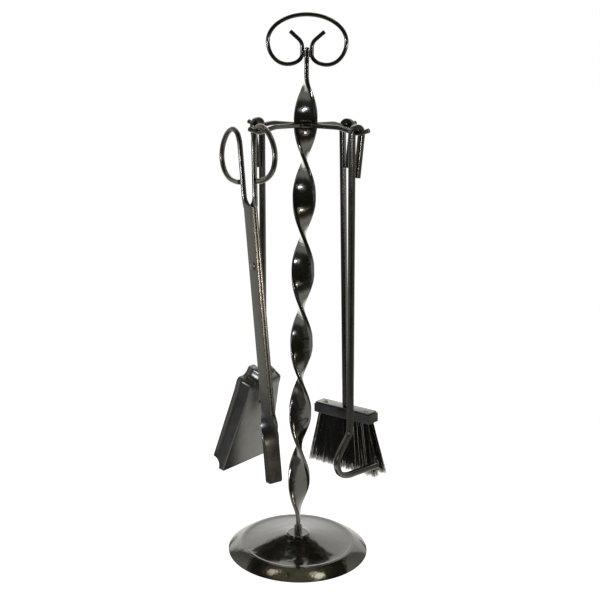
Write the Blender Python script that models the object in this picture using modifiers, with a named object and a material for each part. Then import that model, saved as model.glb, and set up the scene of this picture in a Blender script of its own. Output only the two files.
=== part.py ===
"""Fireplace companion set: a stand with a twisted flat-bar stem on a spun dish, carrying a poker,
a brush, a shovel and a pair of scissor tongs on four hooked arms.

The dish rests on z = 0, and the brush and shovel hang behind the poker and tongs. The world's
origin is under the middle of the whole set, a little in front of the stem's axis. Each tool is
built in its own frame, whose origin is the centre of the arm under its crook, with X along the
crook's plane, Y across it and Z up.
"""

import math

import bmesh
import bpy
from mathutils import Matrix, Vector

MM = 0.001
GAP = 0.3 * MM  # running gap between pieces that touch
MERGE = 0.01 * MM

# From the middle of the set's bounding box to the stem's axis.
STEM_OFFSET = Vector((1.9, -13.0, 0.0)) * MM

# The dish and the stem.
BASE_RADIUS = 80.6 * MM
BASE_SHEET = 1.6 * MM
BASE_HEM = 3.4 * MM  # width of the flat ring that rests on the floor
BEAD_RADIUS = 62 * MM
BEAD_HEIGHT = 9.75 * MM
RIM_CROWN = Vector((72.4, 6.1)) * MM  # the point towards which the rim bulges
BOSS_RADIUS = 12.4 * MM
BOSS_HEIGHT = 19.0 * MM
BAR_WIDTH = 25 * MM
BAR_THICKNESS = 5 * MM
STEM_BOTTOM = BOSS_HEIGHT + GAP
STEM_TOP = 563.5 * MM
TWIST_BOTTOM = 45.5 * MM
HALF_TURN = 81.1 * MM
HALF_TURNS = 6
TWIST_EASE = 7 * MM  # the twist sets in and dies out over twice this length
TWIST_STEP = math.radians(10)
WELD_WIDTH = 1.5 * MM
WELD_HEIGHT = 3.2 * MM

# The ring handle at the top.
HANDLE_ROD = 2.15 * MM
HANDLE_HALF_WIDTH = 40.5 * MM
HANDLE_TOP = 598.8 * MM
HANDLE_SHOULDER = 572 * MM  # height at which the ring is widest
LOBE_BOTTOM = 549 * MM
LOBE_CENTRE = 20.3 * MM
PINCH_HEIGHT = 559.5 * MM  # where the rod touches the stem
CURL_RADIUS = 11 * MM
CURL_ANGLE = math.radians(49)
CURL_RISE = 6.5 * MM  # straight part between the stem's top and each bend
CURL_END = 12 * MM  # straight free end of the rod
WELD_RISE = 1.5 * MM

# The two V-shaped hangers, welded to the stem's broad faces.
ARM_ANGLES = {"poker": -41.25, "brush": 48.75, "shovel": 138.75, "tongs": 228.75}
ARM_ROD = 2.5 * MM
ARM_HEIGHT = 487 * MM
ARM_LENGTH = 84 * MM
SEAT_RADIUS = 70 * MM
HANG_RADII = {"poker": 68.7 * MM, "brush": 70 * MM, "shovel": 70 * MM, "tongs": 69.0 * MM}
SEAT_DIP = 4 * MM
DIP_START = 42 * MM
ARM_BEND = 12.9 * MM

# Square bar and crook shared by the poker, the brush and the shovel.
SHAFT = 6 * MM
SHAFT_CORNER = 0.7 * MM
CROOK_RADIUS = 6.7 * MM
CROOK_TOP = ARM_ROD + GAP + SHAFT / 2  # bar's centreline over the arm's centre
CROOK_LEG = 44 * MM
CROOK_SLANT = math.radians(7.8)

POKER_YAW, POKER_LEAN = math.radians(42), math.radians(1.95)
BRUSH_YAW, BRUSH_LEAN = math.radians(-40), math.radians(2.8)
SHOVEL_YAW, SHOVEL_LEAN = math.radians(48.75), math.radians(1.3)
TONGS_YAW, TONGS_LEAN = math.radians(-55), math.radians(10)

# The brush head.
PLATE_TOP = -324.4 * MM
PLATE_SIZE = Vector((79, 15.5, 1.6)) * MM
BLOCK_SIZE = Vector((82, 18, 11)) * MM
SCREW_OFFSET = 29.8 * MM
TUFTS_IN_ROW = 11
TUFT_ROOT_SPAN = 69 * MM
TUFT_TIP_SPAN = 93 * MM
TUFT_TIP_SHIFT = 1.5 * MM
TUFT_ROOT_ROW = 3.8 * MM
TUFT_TIP_ROW = 7.6 * MM
TUFT_ROOT_RADIUS = 2.8 * MM
TUFT_TIP_RADIUS = 4.1 * MM
TUFT_LENGTH = 61 * MM

# The shovel's pan, folded from sheet.
PAN_SLOPE = math.radians(16.5)
PAN_CORNER_DROP = 300.5 * MM  # from the arm down to the pan's shoulders
PAN_LENGTH = 113 * MM
PAN_HALF_BACK = 26 * MM
PAN_HALF_LIP = 41.5 * MM
PAN_SHEET = 1.4 * MM
PAN_WALL_BACK = 20 * MM
PAN_WALL_FRONT = 18.5 * MM
PAN_WALL_LIP = 7 * MM
PAN_COVE = 12 * MM
PAN_FLARE = 0.22  # sideways lean of a wall for each unit of its height
SLOT_HALF = 4.6 * MM  # half the gap in the back wall, through which the shaft comes in
SOCKET_HALF = 13 * MM
SOCKET_RISE = 15.2 * MM
SHOVEL_BEND = 3 * MM  # how far below the shoulders the shaft bends onto the floor
TANG_END = 36 * MM
RIVET_PLACES = (13 * MM, 27 * MM)

# The tongs.
LEG_HALF_WIDTH = 8.65 * MM
LEG_HALF_THICKNESS = 1.5 * MM
LEG_CORNER = 0.5 * MM
TONGS_ROD = 2.75 * MM
SHANK_LEAN = {"back": math.radians(6.7), "front": math.radians(-0.6)}
SHOULDER_TOP = 72 * MM
SHOULDER_LENGTH = 9 * MM
TWIST_START = -151 * MM
TWIST_END = -190 * MM
JAW_END = -229.5 * MM
RIVET_SHANK = 2.4 * MM


def clear_scene():
    for obj in list(bpy.data.objects):
        bpy.data.objects.remove(obj, do_unlink=True)


def new_collection(name):
    collection = bpy.data.collections.new(name)
    bpy.context.scene.collection.children.link(collection)
    return collection


def make_material(name, colour, roughness, metallic):
    material = bpy.data.materials.new(name)
    material.use_nodes = True
    shader = material.node_tree.nodes["Principled BSDF"]
    shader.inputs["Base Color"].default_value = (*colour, 1.0)
    shader.inputs["Roughness"].default_value = roughness
    shader.inputs["Metallic"].default_value = metallic
    material.diffuse_color = (*colour, 1.0)
    return material


clear_scene()
PARTS = new_collection("fireplace_tool_set")
HELPERS = new_collection("cutters_and_guides")
LACQUER = make_material("antique_black_lacquer", (0.035, 0.032, 0.024), 0.28, 0.6)
WOOD = make_material("black_painted_block", (0.02, 0.02, 0.022), 0.45, 0.0)
BRISTLE = make_material("black_bristle", (0.012, 0.012, 0.013), 0.6, 0.0)
STEEL = make_material("worn_steel", (0.33, 0.30, 0.25), 0.35, 0.9)


def add_part(name, data, material, parent=None):
    obj = bpy.data.objects.new(name, data)
    PARTS.objects.link(obj)
    obj.parent = parent
    if material:
        data.materials.clear()
        data.materials.append(material)
    return obj


def add_empty(name, location, yaw=0.0, lean=0.0):
    """A tool's frame: turned about Z, then leant so that its foot moves along its own +X."""
    empty = bpy.data.objects.new(name, None)
    HELPERS.objects.link(empty)
    empty.empty_display_size = 10 * MM
    empty.location = location
    empty.rotation_euler = (0.0, -lean, yaw)
    return empty


def hide_helper(obj):
    obj.hide_render = True
    obj.display_type = "WIRE"


def smooth_mesh(mesh, angle=math.radians(40)):
    mesh.shade_smooth()
    mesh.set_sharp_from_angle(angle=angle)


def mesh_from(bm, name):
    bmesh.ops.recalc_face_normals(bm, faces=bm.faces)
    mesh = bpy.data.meshes.new(name)
    bm.to_mesh(mesh)
    bm.free()
    return mesh


def box_mesh(name, size):
    bm = bmesh.new()
    bmesh.ops.create_cube(bm, size=1.0, matrix=Matrix.Diagonal((*size, 1.0)))
    return mesh_from(bm, name)


def cylinder_mesh(name, radius, length, segments=16):
    bm = bmesh.new()
    bmesh.ops.create_cone(
        bm, cap_ends=True, segments=segments, radius1=radius, radius2=radius, depth=length
    )
    return mesh_from(bm, name)


def turned_part(name, profile, material, parent=None, steps=16):
    """A profile of (radius, height) points, from the top of the axis round to its bottom."""
    bm = bmesh.new()
    points = [bm.verts.new((radius, 0.0, height)) for radius, height in profile]
    for first, second in zip(points, points[1:]):
        bm.edges.new((first, second))
    mesh = bpy.data.meshes.new(name)
    bm.to_mesh(mesh)
    bm.free()
    obj = add_part(name, mesh, material, parent)
    screw = obj.modifiers.new("turn", "SCREW")
    screw.axis = "Z"
    screw.steps = screw.render_steps = steps
    screw.use_merge_vertices = True
    screw.merge_threshold = MERGE
    screw.use_smooth_shade = True
    return obj


def bevelled(obj, width, segments=2):
    bevel = obj.modifiers.new("rounded_edges", "BEVEL")
    bevel.width = width
    bevel.segments = segments
    bevel.limit_method = "ANGLE"
    return obj


def cut(obj, cutter):
    boolean = obj.modifiers.new("cut_" + cutter.name, "BOOLEAN")
    boolean.operation = "DIFFERENCE"
    boolean.solver = "EXACT"
    boolean.object = cutter


def add_cutter(name, mesh, matrix, parent=None):
    cutter = bpy.data.objects.new(name, mesh)
    HELPERS.objects.link(cutter)
    hide_helper(cutter)
    cutter.parent = parent
    cutter.matrix_local = matrix
    return cutter


def section_guide(name, width, thickness, corner):
    """The closed outline of a bar's section, with one chamfer at each corner."""
    x, y = width / 2, thickness / 2
    outline = []
    for sx, sy in ((1, 1), (1, -1), (-1, -1), (-1, 1)):
        ends = [(sx * (x - corner), sy * y), (sx * x, sy * (y - corner))]
        outline += ends if sx * sy > 0 else ends[::-1]
    curve = bpy.data.curves.new(name, "CURVE")
    curve.dimensions = "2D"
    spline = curve.splines.new("POLY")
    spline.points.add(len(outline) - 1)
    for point, (px, py) in zip(spline.points, outline):
        point.co = (px, py, 0.0, 1.0)
    spline.use_cyclic_u = True
    guide = bpy.data.objects.new(name, curve)
    HELPERS.objects.link(guide)
    hide_helper(guide)
    return guide


def add_curve(name, points, material, parent, tilts=None):
    curve = bpy.data.curves.new(name, "CURVE")
    curve.dimensions = "3D"
    curve.use_fill_caps = True
    spline = curve.splines.new("POLY")
    spline.points.add(len(points) - 1)
    for index, point in enumerate(points):
        spline.points[index].co = (*point, 1.0)
        spline.points[index].tilt = tilts[index] if tilts else 0.0
    spline.use_smooth = True
    return add_part(name, curve, material, parent)


def add_rod(name, points, radius, material, parent=None):
    rod = add_curve(name, points, material, parent)
    rod.data.bevel_depth = radius
    rod.data.bevel_resolution = 2
    return rod


def add_bar(name, points, guide, material, parent=None, tilts=None):
    bar = add_curve(name, points, material, parent, tilts)
    bar.data.bevel_mode = "OBJECT"
    bar.data.bevel_object = guide
    return bar


def as_mesh(obj):
    """The curve object made a mesh of the same name, material and parent, with its caps welded."""
    bpy.context.view_layer.update()
    evaluated = obj.evaluated_get(bpy.context.evaluated_depsgraph_get())
    mesh = bpy.data.meshes.new_from_object(evaluated)
    bm = bmesh.new()
    bm.from_mesh(mesh)
    bmesh.ops.remove_doubles(bm, verts=bm.verts, dist=MERGE)
    bm.to_mesh(mesh)
    bm.free()
    name, parent, local = obj.name, obj.parent, obj.matrix_local.copy()
    material = obj.data.materials[0]
    bpy.data.objects.remove(obj)
    made = add_part(name, mesh, material, parent)
    made.matrix_local = local
    smooth_mesh(mesh)
    return made


def arc(centre, radii, start, end, steps):
    """Points on an ellipse's arc in a plane, both ends included, with angles in degrees."""
    points = []
    for index in range(steps + 1):
        angle = math.radians(start + (end - start) * index / steps)
        points.append(
            (centre[0] + radii[0] * math.cos(angle), centre[1] + radii[1] * math.sin(angle))
        )
    return points


def smooth_path(points, steps):
    """A Catmull-Rom curve through plane points, with the given number of steps between them."""
    padded = [points[0]] + list(points) + [points[-1]]
    path = []
    for index in range(1, len(padded) - 2):
        p0, p1, p2, p3 = (Vector(p) for p in padded[index - 1 : index + 3])
        for step in range(steps):
            t = step / steps
            path.append(
                0.5
                * (
                    2 * p1
                    + (p2 - p0) * t
                    + (2 * p0 - 5 * p1 + 4 * p2 - p3) * t * t
                    + (3 * p1 - p0 - 3 * p2 + p3) * t * t * t
                )
            )
    path.append(Vector(points[-1]))
    return [tuple(p) for p in path]


def bent_curve(start, crown, end, steps=7):
    """Points on the curve that leaves start and reaches end along lines through the crown."""
    points = []
    for index in range(steps + 1):
        t = index / steps
        points.append(tuple((1 - t) ** 2 * start + 2 * t * (1 - t) * crown + t * t * end))
    return points


def upright(points, across=0.0):
    """Plane points (x, z) placed in a tool's own X-Z plane."""
    return [(x, across, z) for x, z in points]


# ---------------------------------------------------------------- the stand


def dish_profile():
    """The top of the sheet from the boss out to the rim, then its underside back to the axis."""
    top = [(0.0, BOSS_HEIGHT), (BOSS_RADIUS - 0.6 * MM, BOSS_HEIGHT)]
    top += [(BOSS_RADIUS + 0.9 * MM, BOSS_HEIGHT - 1.2 * MM), (18 * MM, 16.4 * MM)]
    top += [(34 * MM, 13.1 * MM), (48 * MM, 10.6 * MM), (BEAD_RADIUS - 2 * MM, 8.95 * MM)]
    top += [(BEAD_RADIUS - 0.7 * MM, BEAD_HEIGHT - 0.4 * MM), (BEAD_RADIUS + 0.3 * MM, BEAD_HEIGHT)]
    start = Vector((BEAD_RADIUS + 3.2 * MM, BEAD_HEIGHT - 0.5 * MM))
    rim = bent_curve(start, RIM_CROWN, Vector((BASE_RADIUS, 0.0)))
    thinner = Vector((-0.4, -1.0)) * BASE_SHEET
    hem = Vector((BASE_RADIUS - BASE_HEM, 0.0))
    inner_rim = bent_curve(hem, RIM_CROWN + thinner, start + thinner, 4)
    under = [(r, z - BASE_SHEET) for r, z in reversed(top[:7])]
    under[-2] = (BOSS_RADIUS - 3 * MM, BOSS_HEIGHT - BASE_SHEET)
    return top + rim + inner_rim + under


def build_base():
    turned_part("base_dish", dish_profile(), LACQUER, steps=48)


def eased(distance):
    """Length of full twist that equals the twist this far past its first sign."""
    if distance < 2 * TWIST_EASE:
        return max(distance, 0.0) ** 2 / (4 * TWIST_EASE)
    return distance - TWIST_EASE


def twist_angle(height):
    """Direction of the bar's width at a height: the twist is left-handed."""
    span = HALF_TURN * HALF_TURNS
    turned = eased(height - TWIST_BOTTOM + TWIST_EASE)
    if turned > span / 2:
        turned = span - eased(TWIST_BOTTOM + span + TWIST_EASE - height)
    return math.pi / 2 - turned / HALF_TURN * math.pi


def build_stem():
    guide = section_guide("stem_section", BAR_WIDTH, BAR_THICKNESS, 0.9 * MM)
    steps = round(HALF_TURNS * math.pi / TWIST_STEP)
    rise = (HALF_TURN * HALF_TURNS + 2 * TWIST_EASE) / steps
    heights = [TWIST_BOTTOM - TWIST_EASE + rise * index for index in range(steps + 1)]
    heights = [STEM_BOTTOM] + heights + [STEM_TOP]
    tilts = [twist_angle(height) for height in heights]
    points = [(0.0, 0.0, height) for height in heights]
    add_bar("twisted_stem", points, guide, LACQUER, tilts=tilts)


def build_stem_weld():
    """The fillet of weld round the stem's foot."""
    hole = (BAR_THICKNESS + 2 * GAP, BAR_WIDTH + 2 * GAP, 40 * MM)
    size = (hole[0] + 2 * WELD_WIDTH, hole[1] + 2 * WELD_WIDTH, WELD_HEIGHT)
    weld = add_part("stem_foot_weld", box_mesh("stem_foot_weld", size), LACQUER)
    weld.location.z = STEM_BOTTOM + WELD_HEIGHT / 2
    bevelled(weld, 1.1 * MM)
    place = Matrix.Translation((0.0, 0.0, STEM_BOTTOM))
    cut(weld, add_cutter("stem_foot_cutter", box_mesh("stem_foot_cutter", hole), place))


def handle_half():
    """The right half of the ring, from the middle of its top to the free end inside it."""
    reach = BAR_THICKNESS / 2 + HANDLE_ROD + GAP
    top = arc(
        (0.0, HANDLE_SHOULDER), (HANDLE_HALF_WIDTH, HANDLE_TOP - HANDLE_SHOULDER), 90, 0, 12
    )
    lobe = arc(
        (LOBE_CENTRE, HANDLE_SHOULDER),
        (HANDLE_HALF_WIDTH - LOBE_CENTRE, HANDLE_SHOULDER - LOBE_BOTTOM),
        0,
        -90,
        9,
    )
    pinch = arc(
        (LOBE_CENTRE, PINCH_HEIGHT),
        (LOBE_CENTRE - reach, PINCH_HEIGHT - LOBE_BOTTOM),
        -90,
        -180,
        7,
    )
    curl = arc(
        (reach + CURL_RADIUS, PINCH_HEIGHT + CURL_RISE),
        (CURL_RADIUS, CURL_RADIUS),
        180,
        180 - math.degrees(CURL_ANGLE),
        7,
    )
    bend_x, bend_z = curl[-1]
    free_end = (
        bend_x + CURL_END * math.sin(CURL_ANGLE),
        bend_z + CURL_END * math.cos(CURL_ANGLE),
    )
    return top + lobe[1:] + pinch[1:] + curl + [free_end]


def build_handle():
    half = handle_half()
    mirrored = [(-x, z) for x, z in reversed(half)]
    points = upright(mirrored + half[1:])
    add_rod("handle_ring", points, HANDLE_ROD, LACQUER)


def build_handle_weld():
    """The bead on the stem's top that holds the ring's two sides to it."""
    bm = bmesh.new()
    bmesh.ops.create_uvsphere(bm, u_segments=16, v_segments=8, radius=1.0)
    half_width = BAR_THICKNESS / 2
    scale = Matrix.Diagonal((half_width, 5.5 * MM, WELD_RISE, 1.0))
    bmesh.ops.transform(bm, matrix=scale, verts=bm.verts)
    mesh = mesh_from(bm, "handle_weld")
    mesh.shade_smooth()
    bead = add_part("handle_weld", mesh, LACQUER)
    bead.location = (0.0, 0.0, STEM_TOP + GAP + WELD_RISE)


def arm_height(radius):
    """Height of an arm's centreline: it dips to the tool's seat and rises again to the tip."""
    if radius < SEAT_RADIUS:
        share = (radius - DIP_START) / (SEAT_RADIUS - DIP_START)
    else:
        share = 1.0 - 0.75 * (radius - SEAT_RADIUS) / (ARM_LENGTH - SEAT_RADIUS)
    share = min(max(share, 0.0), 1.0)
    return ARM_HEIGHT - SEAT_DIP * (1 - math.cos(math.pi * share)) / 2


def arm_points(degrees):
    """One arm, from where the hanger's bend ends out to its tip."""
    angle = math.radians(degrees)
    radii = [ARM_BEND, 28 * MM] + [(42 + 3.5 * step) * MM for step in range(13)]
    return [
        (radius * math.cos(angle), radius * math.sin(angle), arm_height(radius))
        for radius in radii
    ]


def build_hanger(name, first, second):
    """A rod bent into a V, whose bend lies against the stem."""
    middle = (first + second) / 2
    distance = ARM_BEND * math.sqrt(2)
    centre = [distance * f(math.radians(middle)) for f in (math.cos, math.sin)]
    bend = arc(centre, (ARM_BEND, ARM_BEND), middle + 180 + 45, middle + 180 - 45, 8)
    bend = [(x, y, ARM_HEIGHT) for x, y in bend]
    points = arm_points(first)[::-1] + bend[1:-1] + arm_points(second)
    add_rod(name, points, ARM_ROD, LACQUER)


def build_hanger_weld(name, middle):
    """The bead laid in the corner between the stem's face and the top of the hanger."""
    bm = bmesh.new()
    bmesh.ops.create_uvsphere(bm, u_segments=14, v_segments=8, radius=1.0)
    scale = Matrix.Diagonal((1.7 * MM, 6.5 * MM, 1.9 * MM, 1.0))
    bmesh.ops.transform(bm, matrix=scale, verts=bm.verts)
    mesh = mesh_from(bm, name)
    mesh.shade_smooth()
    bead = add_part(name, mesh, LACQUER)
    out = BAR_THICKNESS / 2 + GAP + 2.1 * MM
    angle = math.radians(middle)
    height = ARM_HEIGHT + ARM_ROD + GAP + 1.9 * MM
    bead.location = (out * math.cos(angle), out * math.sin(angle), height)
    bead.rotation_euler = (0.0, 0.0, angle)


def build_hangers():
    front = (ARM_ANGLES["tongs"] - 360, ARM_ANGLES["poker"])
    back = (ARM_ANGLES["brush"], ARM_ANGLES["shovel"])
    build_hanger("front_hanger", *front)
    build_hanger("back_hanger", *back)
    build_hanger_weld("front_hanger_weld", sum(front) / 2)
    build_hanger_weld("back_hanger_weld", sum(back) / 2)


def seat_point(tool):
    angle = math.radians(ARM_ANGLES[tool])
    radius = HANG_RADII[tool]
    return Vector((radius * math.cos(angle), radius * math.sin(angle), arm_height(radius)))


# ---------------------------------------------------------------- the tools


def crook_path():
    """The crook in its own plane, from its cut tip over the arm to the top of the shaft.

    The leg that comes down is on +X, and the shaft is at x = -CROOK_RADIUS.
    """
    centre_z = CROOK_TOP - CROOK_RADIUS
    slant = math.degrees(CROOK_SLANT)
    over = arc((0.0, centre_z), (CROOK_RADIUS, CROOK_RADIUS), -slant, 180, 10)
    start_x, start_z = over[0]
    tip = (
        start_x - CROOK_LEG * math.sin(CROOK_SLANT),
        start_z - CROOK_LEG * math.cos(CROOK_SLANT),
    )
    return [tip] + over


def tool_frame(tool, yaw, lean):
    return add_empty(tool + "_frame", seat_point(tool), yaw, lean)


def build_poker(guide):
    """The shaft's foot is set over to one side, turned under and run out into a short prong."""
    frame = tool_frame("poker", POKER_YAW, POKER_LEAN)
    foot = [
        (-7.0, -314),
        (-9.0, -324),
        (-19.5, -337.5),
        (-25.0, -346.5),
        (-26.5, -356),
        (-21.5, -366.5),
        (-11, -371.5),
        (4, -372.5),
        (36, -374),
    ]
    foot = smooth_path([(x * MM, z * MM) for x, z in foot], 4)
    path = crook_path() + [(-CROOK_RADIUS, -60 * MM), (-CROOK_RADIUS, -300 * MM)] + foot
    poker = as_mesh(add_bar("poker_bar", upright(path), guide, LACQUER, frame))
    chisel = Matrix.Translation((43 * MM, 0.0, -378 * MM)) @ Matrix.Rotation(
        math.radians(38), 4, "Y"
    )
    size = (12 * MM, 20 * MM, 30 * MM)
    cut(poker, add_cutter("chisel_cutter", box_mesh("chisel_cutter", size), chisel, frame))


def screw_profile(head_radius, head_height, shank_radius, length):
    """A domed head that sits on z = 0, with its shank below."""
    dome = arc((0.0, 0.0), (head_radius, head_height), 90, 0, 4)
    return dome + [(shank_radius, 0.0), (shank_radius, -length), (0.0, -length)]


def build_brush(guide):
    frame = tool_frame("brush", BRUSH_YAW, BRUSH_LEAN)
    middle = -CROOK_RADIUS
    path = crook_path() + [(middle, -60 * MM), (middle, PLATE_TOP + GAP)]
    add_bar("brush_shaft", upright(path), guide, LACQUER, frame)
    plate = add_part("brush_plate", box_mesh("brush_plate", PLATE_SIZE), LACQUER, frame)
    plate.location = (middle, 0.0, PLATE_TOP - PLATE_SIZE.z / 2)
    bevelled(plate, 0.4 * MM, 1)
    block_top = PLATE_TOP - PLATE_SIZE.z - GAP
    block = add_part("brush_block", box_mesh("brush_block", BLOCK_SIZE), WOOD, frame)
    block.location = (middle, 0.0, block_top - BLOCK_SIZE.z / 2)
    bevelled(block, 1.0 * MM)
    for side, name in ((-1, "left"), (1, "right")):
        build_plate_screw(name, middle + side * SCREW_OFFSET, frame, plate, block)
    build_tufts(frame, middle, block_top - BLOCK_SIZE.z - GAP)


def build_plate_screw(name, x, frame, plate, block):
    shank, length = 1.5 * MM, 9 * MM
    profile = screw_profile(2.9 * MM, 1.3 * MM, shank, length)
    screw = turned_part("plate_screw_" + name, profile, STEEL, frame, steps=14)
    screw.location = (x, 0.0, PLATE_TOP + GAP)
    hole = cylinder_mesh("screw_hole_" + name, shank + GAP, 2 * (length + 1 * MM), 14)
    cutter = add_cutter(
        "screw_hole_" + name, hole, Matrix.Translation((x, 0.0, PLATE_TOP)), frame
    )
    cut(plate, cutter)
    cut(block, cutter)


def build_tufts(frame, middle, top):
    """Two rows of tufts that fan out towards their tips."""
    for row, side in (("front", -1), ("back", 1)):
        for index in range(TUFTS_IN_ROW):
            share = index / (TUFTS_IN_ROW - 1) - 0.5
            root = Vector((middle + share * TUFT_ROOT_SPAN, side * TUFT_ROOT_ROW, top))
            x = middle + TUFT_TIP_SHIFT + share * TUFT_TIP_SPAN
            tip = Vector((x, side * TUFT_TIP_ROW, top - TUFT_LENGTH))
            build_tuft("tuft_%s_%02d" % (row, index + 1), root, tip, frame)


def build_tuft(name, root, tip, frame):
    bm = bmesh.new()
    bmesh.ops.create_cone(
        bm,
        cap_ends=True,
        segments=8,
        radius1=TUFT_TIP_RADIUS,
        radius2=TUFT_ROOT_RADIUS,
        depth=TUFT_LENGTH,
    )
    for vert in bm.verts:
        vert.co += (tip if vert.co.z < 0 else root) - Vector((0.0, 0.0, vert.co.z))
    add_part(name, mesh_from(bm, name), BRISTLE, frame)


# ---------------------------------------------------------------- the shovel


def pan_matrix():
    """The pan's frame: X across, Y along the floor to the lip, Z up from the floor's inside."""
    down = Vector((0.0, math.sin(PAN_SLOPE), -math.cos(PAN_SLOPE)))
    up = Vector((0.0, math.cos(PAN_SLOPE), math.sin(PAN_SLOPE)))
    across = Vector((-1.0, 0.0, 0.0))
    reach = SHAFT / 2 + GAP
    origin = Vector((CROOK_RADIUS, 0.0, -PAN_CORNER_DROP))
    origin.y = -SHOVEL_BEND * down.y - reach * up.y
    rotation = Matrix((across, down, up)).transposed().to_4x4()
    return Matrix.Translation(origin) @ rotation


def pan_outline():
    """Half of the floor's edge, from the shaft's slot round the socket and the shoulder to the
    lip, with the wall's height at each point."""
    back = PAN_WALL_BACK
    half = PAN_HALF_BACK
    points = [
        (SLOT_HALF, -SOCKET_RISE, back),
        (SOCKET_HALF - 1.8 * MM, -SOCKET_RISE, back),
        (SOCKET_HALF - 0.4 * MM, -SOCKET_RISE + 1.2 * MM, back),
        (SOCKET_HALF + 0.4 * MM, -SOCKET_RISE + 4.4 * MM, back),
        (SOCKET_HALF + 1.9 * MM, -7.3 * MM, back),
        (SOCKET_HALF + 4.2 * MM, -5.0 * MM, back),
    ]
    corner = arc((half - 4.6 * MM, 0.8 * MM), (4.6 * MM, 5.6 * MM), -112, 0, 6)
    points += [(x, y, back) for x, y in corner]
    points.append((half + 0.4 * MM, 11 * MM, back))
    cove_start = PAN_LENGTH - PAN_COVE
    for share in (0.3, 0.6, 0.85):
        points.append(flank_point(share * cove_start + 11 * MM * (1 - share)))
    for step in range(6):
        angle = math.radians(90 * step / 5)
        along = cove_start + PAN_COVE * (1 - math.cos(angle))
        height = PAN_WALL_FRONT - (PAN_WALL_FRONT - PAN_WALL_LIP) * math.sin(angle)
        points.append((flank_point(along)[0], along, height))
    return points


def flank_point(along):
    share = (along - 11 * MM) / (PAN_LENGTH - 11 * MM)
    width = PAN_HALF_BACK + 0.4 * MM
    height = PAN_WALL_BACK + (PAN_WALL_FRONT - PAN_WALL_BACK) * share
    return (width + (PAN_HALF_LIP - width) * share, along, height)


def build_pan(frame):
    """Floor and walls as one open sheet, thickened outwards: the socket's top stays open."""
    right = pan_outline()
    left = [(-x, y, height) for x, y, height in reversed(right)]
    outline = left + right
    bm = bmesh.new()
    floor = [bm.verts.new((x, y, 0.0)) for x, y, _ in outline]
    walls = []
    for x, y, height in outline:
        lean = PAN_FLARE * height * (1 if x > 0 else -1)
        back = -0.06 * height if y < 8 * MM else 0.0
        walls.append(bm.verts.new((x + lean * min(abs(x) / PAN_HALF_BACK, 1.0), y + back, height)))
    underside = bm.faces.new(floor)
    socket = len(left) - 1
    for index in range(len(outline) - 1):
        if index != socket:
            bm.faces.new((floor[index], floor[index + 1], walls[index + 1], walls[index]))
    bmesh.ops.recalc_face_normals(bm, faces=bm.faces)
    underside.normal_update()
    if underside.normal.z > 0:
        bmesh.ops.reverse_faces(bm, faces=bm.faces)
    mesh = bpy.data.meshes.new("shovel_pan")
    bm.to_mesh(mesh)
    bm.free()
    pan = add_part("shovel_pan", mesh, LACQUER, frame)
    pan.matrix_local = pan_matrix()
    sheet = pan.modifiers.new("sheet", "SOLIDIFY")
    sheet.thickness = PAN_SHEET
    sheet.offset = 1.0
    sheet.use_even_offset = True
    return pan


def build_shovel(guide):
    frame = tool_frame("shovel", SHOVEL_YAW, SHOVEL_LEAN)
    pan = build_pan(frame)
    place = pan_matrix()
    bend = place @ Vector((0.0, SHOVEL_BEND, SHAFT / 2 + GAP))
    end = place @ Vector((0.0, TANG_END, SHAFT / 2 + GAP))
    path = [(-x, 0.0, z) for x, z in crook_path()] + [(CROOK_RADIUS, 0.0, -60 * MM)]
    above = Vector((CROOK_RADIUS, 0.0, bend.z + 6 * MM))
    below = bend + (end - bend).normalized() * 6 * MM
    path += bent_curve(above, bend, below, 4) + [tuple(end)]
    shaft = as_mesh(add_bar("shovel_shaft", path, guide, LACQUER, frame))
    for number, along in enumerate(RIVET_PLACES, start=1):
        build_pan_rivet(number, along, frame, place, shaft, pan)


def build_pan_rivet(number, along, frame, place, shaft, pan):
    """A rivet from the shaft's face through the floor, with a dome on both ends."""
    name = "pan_rivet_%d" % number
    shank = 1.4 * MM
    low = -PAN_SHEET - GAP
    high = SHAFT + 2 * GAP
    head = arc((0.0, high), (2.6 * MM, 1.2 * MM), 90, 0, 3)
    tail = arc((0.0, low), (2.6 * MM, 1.2 * MM), 0, -90, 3)
    profile = head + [(shank, high), (shank, low)] + tail
    rivet = turned_part(name, profile, STEEL, frame, steps=12)
    here = place @ Matrix.Translation((0.0, along, 0.0))
    rivet.matrix_local = here
    hole = cylinder_mesh(name + "_hole", shank + GAP, 30 * MM, 12)
    cutter = add_cutter(name + "_hole", hole, here, frame)
    cut(shaft, cutter)
    cut(pan, cutter)


# ---------------------------------------------------------------- the tongs


def section_ring(centre, across, normal, half_width, half_thickness, corner):
    """Twelve points round a section: three at each corner, which make a circle where the corner's
    radius is as large as both halves."""
    ring = []
    for quarter, (sx, sy) in enumerate(((1, 1), (-1, 1), (-1, -1), (1, -1))):
        for part in (15, 45, 75):
            angle = math.radians(90 * quarter + part)
            x = sx * (half_width - corner) + corner * math.cos(angle)
            y = sy * (half_thickness - corner) + corner * math.sin(angle)
            ring.append(centre + across * x + normal * y)
    return ring


def loft(name, rings, material, parent):
    """One closed skin over a row of sections with equal numbers of points."""
    bm = bmesh.new()
    rows = [[bm.verts.new(point) for point in ring] for ring in rings]
    count = len(rows[0])
    for first, second in zip(rows, rows[1:]):
        for index in range(count):
            after = (index + 1) % count
            bm.faces.new((first[index], first[after], second[after], second[index]))
    bm.faces.new(rows[0][::-1])
    bm.faces.new(rows[-1])
    mesh = mesh_from(bm, name)
    smooth_mesh(mesh, math.radians(35))
    return add_part(name, mesh, material, parent)


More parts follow.
